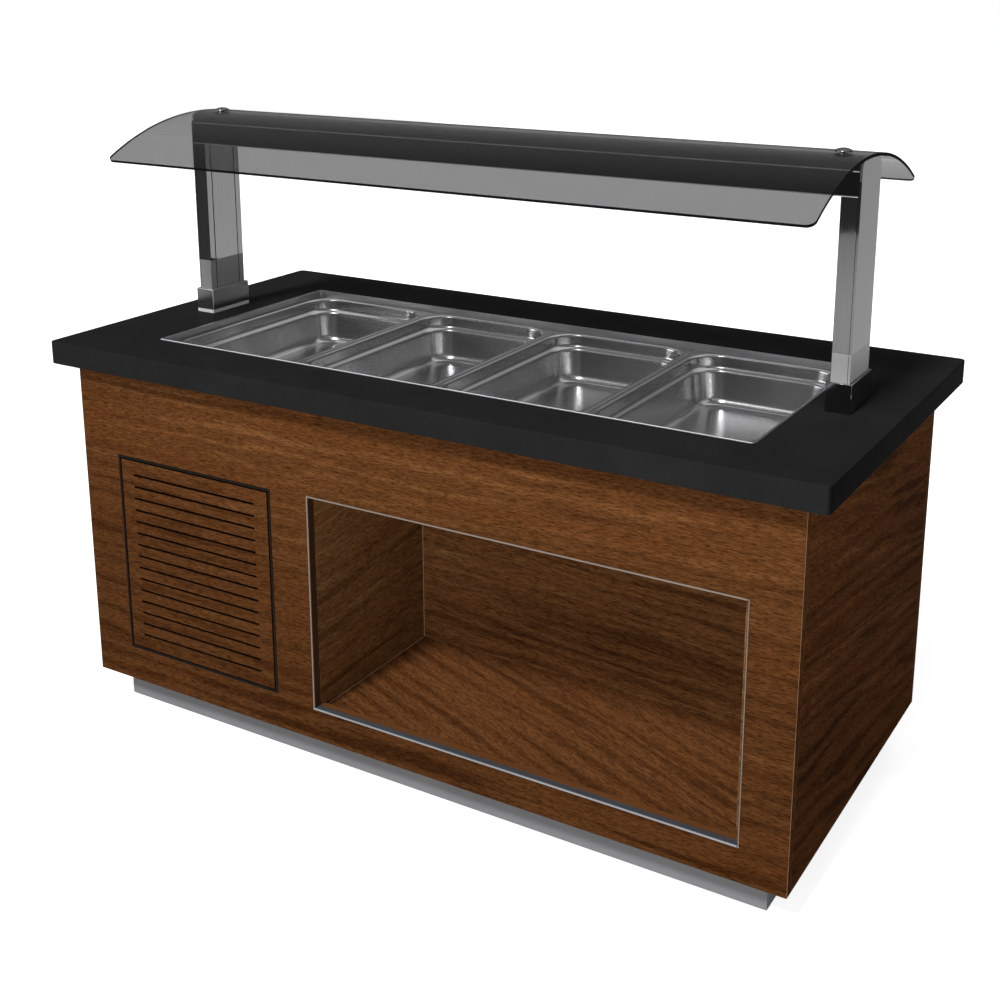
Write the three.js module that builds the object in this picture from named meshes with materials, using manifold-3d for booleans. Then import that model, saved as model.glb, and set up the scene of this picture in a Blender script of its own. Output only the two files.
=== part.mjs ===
// A mobile salad bar: a laminate cabinet on hidden castors, a stone worktop with a recessed cold well for
// four food pans, and a curved glass guard carried by two posts and a lamp beam.
// Millimetres, +Z up. X runs along the bar and the guests' side faces -Y. The origin is on the floor, below
// the middle of the worktop.

import * as THREE from "three";
import { mergeVertices } from "three/addons/utils/BufferGeometryUtils.js";
import Module from "manifold-3d";

const wasm = await Module();
wasm.setup();

// ---------- Driving dimensions ----------

const SEAM = 0.3; // gap left between two pieces that touch

// Worktop
const TOP_LENGTH = 1680;
const TOP_DEPTH = 836;
const TOP_THICKNESS = 48;
const TOP_HEIGHT = 822; // floor to the top of the worktop
const TOP_CORNER = 12; // radius of its upright corners
const TOP_ARRIS = 2; // its softened edges

// Food pans, full gastronorm size
const PAN_COUNT = 4;
const PAN_WIDTH = 325; // along X
const PAN_LENGTH = 530; // along Y
const PAN_DEPTH = 100;
const PAN_SHEET = 1;
const PAN_RIM = 12; // flat rim from its edge to the mouth
const PAN_RIM_DROP = 4; // turned-down edge of the rim
const PAN_RIM_CORNER = 14;
const PAN_MOUTH_CORNER = 46;
const PAN_SHOULDER_DEPTH = 27; // rim to the stacking shoulder
const PAN_SHOULDER = 7; // how far the shoulder steps in
const PAN_TAPER = 9; // lean of the lower wall
const PAN_FLOOR_RADIUS = 16;
const PAN_ROLL = 2; // rounding of the rim into the mouth
const PAN_UPPER_TAPER = 3; // lean of the wall above the shoulder
const PAN_GAP = 1; // between two pans
const PAN_END_GAP = 4; // between the end pans and the well
const PAN_SIDE_GAP = 3; // between a pan's ends and the well

// Cold well
const WELL_X = 10; // the well's middle against the worktop's
const WELL_Y = -21.5; // it lies nearer to the guests' side
const WELL_RECESS = 11; // worktop to the pans' rims
const WELL_LEDGE = 14; // ledge that carries the pans' rims
const WELL_FLOOR = 132; // worktop to the tank's floor
const WELL_CORNER = 8;
const WELL_LIP = 4; // rim of the tank on the worktop
const WELL_LIP_THICKNESS = 1.2;
const TANK_SHEET = 1.2;
const TANK_CLEARANCE = 0.6; // tank wall to the worktop's cut edge
const BAR_WIDTH = 20; // cross bars under the pans' long rims
const BAR_DEPTH = 14;
const BAR_SHEET = 1.5;
const FOAM = 38; // insulation round the tank
const DRAIN_X = -560;
const DRAIN_Y = 120;
const DRAIN_RADIUS = 16;
const DRAIN_WALL = 3;
const DRAIN_FLANGE = 8;
const DRAIN_LENGTH = 120; // below the tank's floor

// Cabinet
const BOARD = 18;
const CABINET_LENGTH = 1590;
const CABINET_DEPTH = 766;
const CABINET_BOTTOM = 70;

// Display niche in the guests' side
const NICHE_LEFT = -195;
const NICHE_RIGHT = 704;
const NICHE_BOTTOM = 141;
const NICHE_HEADER = 184; // worktop's underside to the cut-out
const NICHE_DEPTH = 390; // front of the cabinet to the niche's back board
const NICHE_BOARD = 16;
const NICHE_REVEAL_RIGHT = 10; // edges of the lining that show inside the cut-out
const NICHE_REVEAL_TOP = 7;
const NICHE_FLOOR_DROP = 11; // cut-out's lower edge to the niche's floor
const TRIM = 2; // metal edging of the cut-out
const TRIM_FLANGE = 3; // its bright front face
const TRIM_FACE = 1.2;
const SILL_DEPTH = 28; // front of the cabinet to the sill's turned-down back edge
const SILL_APRON = 8; // how far that edge covers the niche floor's front

// Ventilation door
const VENT_LEFT = -698;
const VENT_RIGHT = -290;
const VENT_BOTTOM = 146;
const VENT_HEADER = 187; // worktop's underside to the door's cut-out
const VENT_FRAME = 4.5;
const VENT_GAP = 3.5; // running gap round the door
const VENT_STOP = 8; // rebate behind the door's free edge
const SLOT_MARGIN = 36; // cut-out to the first and last slots, at least
const SLOT_LENGTH = 327;
const SLOT_HEIGHT = 5;
const SLOT_PITCH = 26;
const SLOT_SHIFT = -1; // the slots' middle against the door's
const PIVOT_INSET = 7; // pivot to the door's edge and face
const PIVOT_RADIUS = 3;
const PIVOT_CLEARANCE = 0.4;
const PIVOT_REACH = 12;

// Plinth and chassis
const PLINTH_LENGTH = 1494;
const PLINTH_DEPTH = 682;
const PLINTH_SHEET = 2;
const PLINTH_LIFT = 3; // it clears the floor so that the castors roll
const CHASSIS_TUBE = 25;
const CORNER_PLATE = 4;

// Castors
const WHEEL_RADIUS = 25;
const WHEEL_WIDTH = 18;
const WHEEL_CROWN = 1.5; // rounding of the tread
const AXLE_RADIUS = 4;
const AXLE_CLEARANCE = 0.4;
const CASTOR_TRAIL = 16; // swivel axis to axle
const CASTOR_SIDE = 1.5; // wheel to fork leg
const FORK_SHEET = 2.5;
const FORK_CLEARANCE = 2.5; // wheel to crown
const CASTOR_ROOM = 6; // swept circle to the chassis
const CASTOR_PLATE = 64;
const CASTOR_PLATE_THICKNESS = 3;
const SWIVEL_RADIUS = 19;

// Posts
const POST_OUTSIDE = 749; // middle of the bar to a post's outer face
const POST_WIDTH = 35; // along X, with its side plate
const POST_DEPTH = 108;
const POST_WALL = 3;
const SIDE_PLATE = 4;
const STRIP_WIDTH = 76; // slot for the cover strip in the post's inner face
const STRIP_LINE = 2; // shadow line on each side of the strip
const COLLAR_HEIGHT = 54;
const COLLAR_WALL = 6;

// Lamp beam
const BEAM_CLEAR = 380; // worktop to the beam
const BEAM_FRONT = 44; // height of its upright faces
const BEAM_SHOULDER = 17; // rounded edge, measured along Y
const BEAM_WALL = 3;
const LAMP_WIDTH = 40;
const LAMP_THICKNESS = 6;
const LAMP_INSET = 46; // lamp's end to the post

// Glass guard
const GLASS_HEIGHT = 450; // worktop to the crown of the glass
const GLASS_RADIUS = 580;
const GLASS_THICKNESS = 6;
const GLASS_HALF_ANGLE = 30; // degrees from the crown to each edge
const GLASS_OFFSET = -15; // its crown against the posts' middle
const GLASS_OVERHANG = 4; // past the posts
const GLASS_CORNER = 15;
const KNOB_X = 700;
const KNOB_Y = -8;
const KNOB_RADIUS = 15.5;
const KNOB_HEIGHT = 7;
const KNOB_SHANK = 3;
const KNOB_CLEARANCE = 0.5;
const KNOB_STUD = 6; // shank below the glass

// Condensing unit behind the ventilation door
const UNIT_LEFT = -672;
const UNIT_LENGTH = 270;
const UNIT_FRONT = -340;
const UNIT_DEPTH = 430;
const UNIT_TRAY = 22;
const UNIT_TRAY_SHEET = 2;
const COIL_LENGTH = 236;
const COIL_HEIGHT = 216;
const COIL_DEPTH = 56;
const COIL_SETBACK = 6; // from the tray's front edge
const COIL_FINS = 18;
const FIN_SHEET = 1.5;
const COIL_TUBE = 5; // tube radius
const COIL_ROWS = 3;
const SHROUD_SHEET = 1.5;
const SHROUD_DEPTH = 34;
const FAN_RADIUS = 96;
const FAN_TIP_GAP = 4;
const FAN_BLADES = 5;
const FAN_HUB = 26;
const FAN_DEPTH = 22;
const FAN_CHORD = 48; // width of a blade
const FAN_PITCH = 26; // degrees
const BLADE_SHEET = 2;
const FAN_RUNNING = 6; // fan to the motor's arms
const MOTOR_RADIUS = 30;
const MOTOR_LENGTH = 54;
const MOTOR_SHAFT = 3.5;
const MOTOR_ARM = 12;
const MOTOR_ARM_SHEET = 3;
const COMPRESSOR_RADIUS = 76;
const COMPRESSOR_HEIGHT = 176;
const COMPRESSOR_FOOT = 10; // height and radius of a rubber foot
const COMPRESSOR_ROOM = 30; // fan motor to the compressor

// Control box beside it
const CONTROL_LEFT = -392;
const CONTROL_WIDTH = 94;
const CONTROL_HEIGHT = 210;
const CONTROL_FRONT = -343;
const CONTROL_DEPTH = 80;
const DIAL_RADIUS = 14;
const DIAL_HEIGHT = 11;
const DIAL_DROP = 118; // below the cabinet's foam to the dial
const DIAL_SHANK = 3;
const DIAL_SHANK_LENGTH = 11;
const ROCKER_WIDTH = 14;
const ROCKER_HEIGHT = 22;
const ROCKER_DROP = 170;
const ROCKER_TILT = 8; // degrees to each side
const ROCKER_GAP = 1;
const ROCKER_POCKET = 14; // depth of its pocket
const ROCKER_PIN = 1.5;
const ROCKER_PIN_REACH = 1.8; // into the pocket's side

// ---------- Sizes that follow ----------

const TOP_UNDERSIDE = TOP_HEIGHT - TOP_THICKNESS;
const CABINET_TOP = TOP_UNDERSIDE - SEAM;
const FRONT_FACE = -CABINET_DEPTH / 2;
const FRONT_INSIDE = FRONT_FACE + BOARD;
const FLOOR_TOP = CABINET_BOTTOM + BOARD;
const NICHE_TOP = TOP_UNDERSIDE - NICHE_HEADER;
const VENT_TOP = TOP_UNDERSIDE - VENT_HEADER;
const SLOT_COUNT = Math.floor((VENT_TOP - VENT_BOTTOM - 2 * SLOT_MARGIN) / SLOT_PITCH) + 1;
const PAN_PITCH = PAN_WIDTH + PAN_GAP;
const WELL_HALF_X = ((PAN_COUNT - 1) * PAN_PITCH + PAN_WIDTH) / 2 + PAN_END_GAP;
const WELL_HALF_Y = PAN_LENGTH / 2 + PAN_SIDE_GAP;
const RIM_HEIGHT = TOP_HEIGHT - WELL_RECESS;
const LEDGE_HEIGHT = RIM_HEIGHT - PAN_RIM_DROP - SEAM;
const TANK_FLOOR = TOP_HEIGHT - WELL_FLOOR;
const TANK_HALF_X = WELL_HALF_X - WELL_LEDGE;
const TANK_HALF_Y = WELL_HALF_Y - WELL_LEDGE;
const FOAM_BOTTOM = TANK_FLOOR - TANK_SHEET - SEAM - FOAM;
const POST_INSIDE = POST_OUTSIDE - POST_WIDTH;
const POST_PLATE = POST_OUTSIDE - SIDE_PLATE;
const BEAM_BOTTOM = TOP_HEIGHT + BEAM_CLEAR;
const GLASS_TOP = TOP_HEIGHT + GLASS_HEIGHT;
const GLASS_CENTRE = GLASS_TOP - GLASS_RADIUS;
const GLASS_UNDER = GLASS_RADIUS - GLASS_THICKNESS;
const PLATE_UNDERSIDE = CABINET_BOTTOM - SEAM - CORNER_PLATE;
const CASTOR_TOP = PLATE_UNDERSIDE - SEAM;
const CROWN_TOP = 2 * WHEEL_RADIUS + FORK_CLEARANCE + FORK_SHEET;
const CHASSIS_X = PLINTH_LENGTH / 2 - PLINTH_SHEET - SEAM;
const CHASSIS_Y = PLINTH_DEPTH / 2 - PLINTH_SHEET - SEAM;
const CASTOR_SWEEP = Math.hypot(CASTOR_TRAIL + WHEEL_RADIUS, WHEEL_WIDTH / 2 + CASTOR_SIDE + FORK_SHEET);
const CASTOR_X = CHASSIS_X - CHASSIS_TUBE - CASTOR_ROOM - CASTOR_SWEEP;
const CASTOR_Y = CHASSIS_Y - CHASSIS_TUBE - CASTOR_ROOM - CASTOR_SWEEP;

// ---------- Materials ----------

function material(color, roughness, metalness, opacity = 1) {
  return new THREE.MeshStandardMaterial({ color, roughness, metalness, opacity, transparent: opacity < 1 });
}

const finish = {
  stone: () => material(0x1b1b1c, 0.25, 0),
  laminate: () => material(0x5a3216, 0.45, 0),
  lining: () => material(0x4a2913, 0.5, 0),
  stainless: () => material(0xb9bbbd, 0.28, 1),
  chrome: () => material(0xd5d7d9, 0.08, 1),
  aluminium: () => material(0xb4b0ac, 0.35, 1),
  greyPaint: () => material(0x77787a, 0.5, 0.3),
  blackPaint: () => material(0x141414, 0.4, 0.2),
  darkFrame: () => material(0x2a2825, 0.6, 0),
  glass: () => material(0x6f7072, 0.05, 0, 0.5),
  galvanised: () => material(0x9fa3a6, 0.5, 0.9),
  rubber: () => material(0x2b2b2d, 0.7, 0),
  plastic: () => material(0x202022, 0.5, 0),
  lamp: () => material(0xf2f0ea, 0.4, 0),
};

// ---------- Shapes and solids ----------

const group = new THREE.Group();

// A closed geometry as a solid that can be cut and joined.
function solid(geometry) {
  const source = geometry.index ? geometry.toNonIndexed() : geometry;
  const bare = new THREE.BufferGeometry();
  bare.setAttribute("position", source.getAttribute("position"));
  const merged = mergeVertices(bare, 1e-4);
  const triVerts = new Uint32Array(merged.index.array);
  const vertProperties = merged.attributes.position.array;
  return new wasm.Manifold(new wasm.Mesh({ numProp: 3, vertProperties, triVerts }));
}

function add(name, shape, surface) {
  const data = shape.getMesh();
  const geometry = new THREE.BufferGeometry();
  geometry.setAttribute("position", new THREE.BufferAttribute(data.vertProperties, 3));
  geometry.setIndex(new THREE.BufferAttribute(data.triVerts, 1));
  geometry.computeVertexNormals();
  const mesh = new THREE.Mesh(geometry, surface);
  mesh.name = name;
  group.add(mesh);
}

// A block from its low and high sides along each axis.
function block([x0, x1], [y0, y1], [z0, z1]) {
  const geometry = new THREE.BoxGeometry(x1 - x0, y1 - y0, z1 - z0);
  geometry.translate((x0 + x1) / 2, (y0 + y1) / 2, (z0 + z1) / 2);
  return solid(geometry);
}

function aboutZero(half) {
  return [-half, half];
}

function join(...shapes) {
  return shapes.reduce((whole, next) => whole.add(next));
}

function cut(shape, ...tools) {
  return tools.reduce((left, tool) => left.subtract(tool), shape);
}

function roundedRectangle(halfX, halfY, radius, x = 0, y = 0) {
  const shape = new THREE.Shape();
  shape.absarc(x + halfX - radius, y - halfY + radius, radius, -Math.PI / 2, 0, false);
  shape.absarc(x + halfX - radius, y + halfY - radius, radius, 0, Math.PI / 2, false);
  shape.absarc(x - halfX + radius, y + halfY - radius, radius, Math.PI / 2, Math.PI, false);
  shape.absarc(x - halfX + radius, y - halfY + radius, radius, Math.PI, 1.5 * Math.PI, false);
  shape.closePath();
  return shape;
}

function extrudeUp(shape, z0, z1, curveSegments = 5, extra = { bevelEnabled: false }) {
  const geometry = new THREE.ExtrudeGeometry(shape, { depth: z1 - z0, curveSegments, ...extra });
  geometry.translate(0, 0, z0);
  return solid(geometry);
}

// The shape's x and y become world Y and Z.
function extrudeAlongX(shape, x0, x1, curveSegments = 6) {
  const geometry = new THREE.ExtrudeGeometry(shape, { depth: x1 - x0, curveSegments, bevelEnabled: false });
  const turn = new THREE.Matrix4().makeBasis(
    new THREE.Vector3(0, 1, 0),
    new THREE.Vector3(0, 0, 1),
    new THREE.Vector3(1, 0, 0),
  );
  geometry.applyMatrix4(turn);
  geometry.translate(x0, 0, 0);
  return solid(geometry);
}

// The shape's x and y become world X and Z.
function extrudeAlongY(shape, y0, y1, curveSegments = 6) {
  const geometry = new THREE.ExtrudeGeometry(shape, { depth: y1 - y0, curveSegments, bevelEnabled: false });
  const turn = new THREE.Matrix4().makeBasis(
    new THREE.Vector3(1, 0, 0),
    new THREE.Vector3(0, 0, 1),
    new THREE.Vector3(0, -1, 0),
  );
  geometry.applyMatrix4(turn);
  geometry.translate(0, y1, 0);
  return solid(geometry);
}

function polygon(points) {
  return new THREE.Shape(points.map(([x, y]) => new THREE.Vector2(x, y)));
}

// A round bar or a turned profile. Profile points are [radius, height], from low to high, outside last.
function turned(points, segments = 20) {
  const outline = points.map(([radius, height]) => new THREE.Vector2(radius, height));
  const geometry = new THREE.LatheGeometry(outline, segments);
  geometry.rotateX(Math.PI / 2);
  return geometry;
}

function roundBar(radius, length, segments = 24) {
  return new THREE.CylinderGeometry(radius, radius, length, segments).rotateX(Math.PI / 2);
}

function uprightBar(radius, x, y, z0, z1, segments = 24) {
  return solid(roundBar(radius, z1 - z0, segments).translate(x, y, (z0 + z1) / 2));
}

function barAlongY(radius, x, z, y0, y1, segments = 24) {
  const geometry = new THREE.CylinderGeometry(radius, radius, y1 - y0, segments);
  return solid(geometry.translate(x, (y0 + y1) / 2, z));
}

function barAlongX(radius, y, z, middle, half, segments = 24) {
  const geometry = new THREE.CylinderGeometry(radius, radius, 2 * half, segments).rotateZ(Math.PI / 2);
  return solid(geometry.translate(middle, y, z));
}

// One level of a pressed vessel: a rounded rectangle at a height.
function level(halfX, halfY, corner, z) {
  return { halfX, halfY, corner, z };
}

const CORNER_STEPS = 5;

function levelPoints({ halfX, halfY, corner, z }, x, y) {
  const centres = [
    [halfX - corner, -halfY + corner],
    [halfX - corner, halfY - corner],
    [-halfX + corner, halfY - corner],
    [-halfX + corner, -halfY + corner],
  ];
  return centres.flatMap(([cx, cy], quarter) =>
    Array.from({ length: CORNER_STEPS + 1 }, (_, step) => {
      const angle = (quarter - 1 + step / CORNER_STEPS) * (Math.PI / 2);
      return [x + cx + corner * Math.cos(angle), y + cy + corner * Math.sin(angle), z];
    }),
  );
}

// A pressed vessel: levels run from the underside of its floor, up its outside and down its inside.
function vessel(levels, x, y) {
  const rings = levels.map((entry) => levelPoints(entry, x, y));
  const count = rings[0].length;
  const index = [];
  for (let ring = 0; ring < rings.length - 1; ring += 1) {
    for (let i = 0; i < count; i += 1) {
      const next = (i + 1) % count;
      const low = ring * count;
      const high = low + count;
      index.push(low + i, low + next, high + next, low + i, high + next, high + i);
    }
  }
  const last = (rings.length - 1) * count;
  for (let i = 1; i < count - 1; i += 1) {
    index.push(0, i + 1, i, last, last + i, last + i + 1);
  }
  const geometry = new THREE.BufferGeometry();
  geometry.setAttribute("position", new THREE.Float32BufferAttribute(rings.flat(2), 3));
  geometry.setIndex(index);
  return solid(geometry);
}

// ---------- Cabinet ----------

function makeCabinet() {
  const halfLength = CABINET_LENGTH / 2;
  const upright = [CABINET_BOTTOM, CABINET_TOP];
  const insideX = halfLength - BOARD;
  const insideY = CABINET_DEPTH / 2 - BOARD - SEAM;
  const front = block(aboutZero(halfLength), [FRONT_FACE, FRONT_INSIDE], upright);
  const through = [FRONT_FACE - 1, FRONT_INSIDE + 1];
  const nicheCut = nicheBlock(TRIM + SEAM, through);
  const ventCut = block([VENT_LEFT, VENT_RIGHT], through, [VENT_BOTTOM, VENT_TOP]);
  add("front_panel", cut(front, nicheCut, ventCut), finish.laminate());

  const back = block(aboutZero(halfLength), [-FRONT_INSIDE, -FRONT_FACE], upright);
  const outlet = slotBars((VENT_LEFT + VENT_RIGHT) / 2, [-FRONT_INSIDE - 1, -FRONT_FACE + 1]);
  add("back_panel", cut(back, ...outlet), finish.laminate());
  add("left_panel", block([-halfLength, -insideX], aboutZero(insideY), upright), finish.laminate());
  add("right_panel", block([insideX, halfLength], aboutZero(insideY), upright), finish.laminate());
  const floor = block(aboutZero(insideX - SEAM), aboutZero(insideY), [CABINET_BOTTOM, FLOOR_TOP]);
  add("cabinet_floor", floor, finish.lining());
}

// The row of ventilation slots, as bars to cut with.
function slotBars(middle, [y0, y1]) {
  const centre = (VENT_TOP + VENT_BOTTOM) / 2;
  return Array.from({ length: SLOT_COUNT }, (_, i) => {
    const z = centre + (i - (SLOT_COUNT - 1) / 2) * SLOT_PITCH;
    const slot = roundedRectangle(SLOT_LENGTH / 2, SLOT_HEIGHT / 2, SLOT_HEIGHT / 2, middle + SLOT_SHIFT, z);
    return extrudeAlongY(slot, y0, y1, 2);
  });
}

// The niche's opening as a block, grown on every side.
function nicheBlock(grown, y) {
  return block([NICHE_LEFT - grown, NICHE_RIGHT + grown], y, [NICHE_BOTTOM - grown, NICHE_TOP + grown]);
}

// The niche's lining: two uprights that also carry its floor, top and back.
function makeNiche() {
  const left = NICHE_LEFT;
  const right = NICHE_RIGHT - NICHE_REVEAL_RIGHT;
  const low = NICHE_BOTTOM - NICHE_FLOOR_DROP;
  const high = NICHE_TOP - NICHE_REVEAL_TOP;
  const front = FRONT_INSIDE + SEAM;
  const back = FRONT_FACE + NICHE_DEPTH;
  const sillBack = FRONT_FACE + SILL_DEPTH;
  const foot = FLOOR_TOP + SEAM;
  const head = high + NICHE_BOARD;
  const depth = [front, back - SEAM];
  const between = [left + SEAM, right - SEAM];
  add("niche_left_side", block([left - NICHE_BOARD, left], depth, [foot, head]), finish.lining());
  add("niche_right_side", block([right, right + NICHE_BOARD], depth, [foot, head]), finish.lining());
  const floorDepth = [sillBack + SEAM, back - SEAM];
  add("niche_floor", block(between, floorDepth, [low - NICHE_BOARD, low]), finish.lining());
  add("niche_top", block(between, depth, [high, head]), finish.lining());
  const width = [left - NICHE_BOARD, right + NICHE_BOARD];
  add("niche_back", block(width, [back, back + NICHE_BOARD], [foot, head]), finish.lining());

  const flangeY = [FRONT_FACE - SEAM - TRIM_FACE, FRONT_FACE - SEAM];
  const flange = nicheBlock(TRIM_FLANGE, flangeY);
  const leaf = nicheBlock(TRIM, [flangeY[0], FRONT_INSIDE]);
  const mouth = nicheBlock(0, [flangeY[0] - 1, FRONT_INSIDE + 1]);
  const sill = block(between, [FRONT_INSIDE - 1, sillBack], [NICHE_BOTTOM - TRIM, NICHE_BOTTOM]);
  const sillEdge = block(between, [sillBack - TRIM, sillBack], [low - SILL_APRON, NICHE_BOTTOM]);
  add("niche_trim", join(cut(join(flange, leaf), mouth), sill, sillEdge), finish.aluminium());
}

// The slotted door turns on two pins of the dark frame that lines its cut-out.
function makeVent() {
  const outer = [VENT_LEFT + SEAM, VENT_RIGHT - SEAM];
  const outerZ = [VENT_BOTTOM + SEAM, VENT_TOP - SEAM];
  const inner = [outer[0] + VENT_FRAME, outer[1] - VENT_FRAME];
  const innerZ = [outerZ[0] + VENT_FRAME, outerZ[1] - VENT_FRAME];
  const door = [inner[0] + VENT_GAP, inner[1] - VENT_GAP];
  const doorZ = [innerZ[0] + VENT_GAP, innerZ[1] - VENT_GAP];
  const back = FRONT_INSIDE + SEAM + VENT_FRAME;
  const pivotX = door[0] + PIVOT_INSET;
  const pivotY = FRONT_FACE + PIVOT_INSET;
  const clear = block(inner, [FRONT_FACE - 1, back + 1], innerZ);
  const ring = cut(block(outer, [FRONT_FACE, back], outerZ), clear);
  const stop = block([inner[1] - VENT_STOP, inner[1] + 1], [FRONT_INSIDE + SEAM, back], innerZ);
  const lowPin = uprightBar(PIVOT_RADIUS, pivotX, pivotY, innerZ[0] - 1, doorZ[0] + PIVOT_REACH, 16);
  const highPin = uprightBar(PIVOT_RADIUS, pivotX, pivotY, doorZ[1] - PIVOT_REACH, innerZ[1] + 1, 16);
  add("vent_frame", join(ring, stop, lowPin, highPin), finish.darkFrame());

  const hole = PIVOT_RADIUS + PIVOT_CLEARANCE;
  const deep = PIVOT_REACH + PIVOT_CLEARANCE;
  const lowHole = uprightBar(hole, pivotX, pivotY, doorZ[0] - 1, doorZ[0] + deep, 16);
  const highHole = uprightBar(hole, pivotX, pivotY, doorZ[1] - deep, doorZ[1] + 1, 16);
  const slots = slotBars((door[0] + door[1]) / 2, [FRONT_FACE - 1, FRONT_INSIDE + 1]);
  const board = block(door, [FRONT_FACE, FRONT_INSIDE], doorZ);
  add("vent_door", cut(board, lowHole, highHole, ...slots), finish.laminate());
}

// ---------- Plinth, chassis and castors ----------

function makeBase() {
  const skirt = cut(
    block(aboutZero(PLINTH_LENGTH / 2), aboutZero(PLINTH_DEPTH / 2), [PLINTH_LIFT, CABINET_BOTTOM - SEAM]),
    block(
      aboutZero(PLINTH_LENGTH / 2 - PLINTH_SHEET),
      aboutZero(PLINTH_DEPTH / 2 - PLINTH_SHEET),
      [0, CABINET_BOTTOM],
    ),
  );
  add("plinth_skirt", skirt, finish.greyPaint());

  const top = CABINET_BOTTOM - SEAM;
  const ring = cut(
    block(aboutZero(CHASSIS_X), aboutZero(CHASSIS_Y), [top - CHASSIS_TUBE, top]),
    block(aboutZero(CHASSIS_X - CHASSIS_TUBE), aboutZero(CHASSIS_Y - CHASSIS_TUBE), [0, top + 1]),
  );
  const inner = CASTOR_PLATE / 2 + CASTOR_ROOM;
  const plates = corners().map(([sx, sy]) =>
    block(
      [sx * (CASTOR_X - inner), sx * CHASSIS_X].sort((a, b) => a - b),
      [sy * (CASTOR_Y - inner), sy * CHASSIS_Y].sort((a, b) => a - b),
      [PLATE_UNDERSIDE, top],
    ),
  );
  add("chassis_frame", join(ring, ...plates), finish.galvanised());
  corners().forEach(([sx, sy, place]) => makeCastor(sx * CASTOR_X, sy * CASTOR_Y, place));
}

function corners() {
  return [
    [-1, -1, "front_left"],
    [1, -1, "front_right"],
    [-1, 1, "back_left"],
    [1, 1, "back_right"],
  ];
}

// The castor's wheel trails its swivel axis towards -X.
function makeCastor(x, y, place) {
  const half = CASTOR_PLATE / 2;
  const seat = CASTOR_TOP - CASTOR_PLATE_THICKNESS;
  const plate = block([x - half, x + half], [y - half, y + half], [seat, CASTOR_TOP]);
  const race = uprightBar(SWIVEL_RADIUS, x, y, CROWN_TOP + SEAM, seat + 1, 20);
  add("castor_plate_" + place, join(plate, race), finish.galvanised());

  const axle = x - CASTOR_TRAIL;
  const inside = WHEEL_WIDTH / 2 + CASTOR_SIDE;
  const outside = inside + FORK_SHEET;
  const crownRadius = SWIVEL_RADIUS + 1;
  const crown = uprightBar(crownRadius, x, y, CROWN_TOP - FORK_SHEET, CROWN_TOP, 20);
  const leg = polygon([
    [axle - AXLE_RADIUS * 2, WHEEL_RADIUS - AXLE_RADIUS * 1.5],
    [axle + AXLE_RADIUS * 2, WHEEL_RADIUS - AXLE_RADIUS * 1.5],
    [x + SWIVEL_RADIUS * 0.6, CROWN_TOP],
    [x - SWIVEL_RADIUS * 0.7, CROWN_TOP],
  ]);
  const legs = [
    extrudeAlongY(leg, y - outside, y - inside),
    extrudeAlongY(leg, y + inside, y + outside),
  ];
  const pin = barAlongY(AXLE_RADIUS, axle, WHEEL_RADIUS, y - outside - 1, y + outside + 1, 12);
  add("castor_fork_" + place, join(crown, ...legs, pin), finish.galvanised());

  const bore = AXLE_RADIUS + AXLE_CLEARANCE;
  const edge = WHEEL_WIDTH / 2;
  const tread = turned(
    [
      [bore, -edge],
      [WHEEL_RADIUS - 2 * WHEEL_CROWN, -edge],
      [WHEEL_RADIUS, -edge + 2 * WHEEL_CROWN],
      [WHEEL_RADIUS, edge - 2 * WHEEL_CROWN],
      [WHEEL_RADIUS - 2 * WHEEL_CROWN, edge],
      [bore, edge],
      [bore, -edge],
    ],
    24,
  );
  tread.rotateX(Math.PI / 2).translate(axle, y, WHEEL_RADIUS);
  add("castor_wheel_" + place, solid(tread), finish.rubber());
}

// ---------- Worktop, well and pans ----------

function makeWorktop() {
  const body = extrudeUp(
    roundedRectangle(TOP_LENGTH / 2 - TOP_ARRIS, TOP_DEPTH / 2 - TOP_ARRIS, TOP_CORNER - TOP_ARRIS),
    TOP_UNDERSIDE + TOP_ARRIS,
    TOP_HEIGHT - TOP_ARRIS,
    5,
    { bevelEnabled: true, bevelSize: TOP_ARRIS, bevelThickness: TOP_ARRIS, bevelSegments: 2 },
  );
  const grown = TANK_SHEET + TANK_CLEARANCE;
  const opening = extrudeUp(
    roundedRectangle(WELL_HALF_X + grown, WELL_HALF_Y + grown, WELL_CORNER + grown, WELL_X, WELL_Y),
    TOP_UNDERSIDE - 1,
    TOP_HEIGHT + 1,
  );
  add("worktop", cut(body, opening), finish.stone());
}

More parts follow.
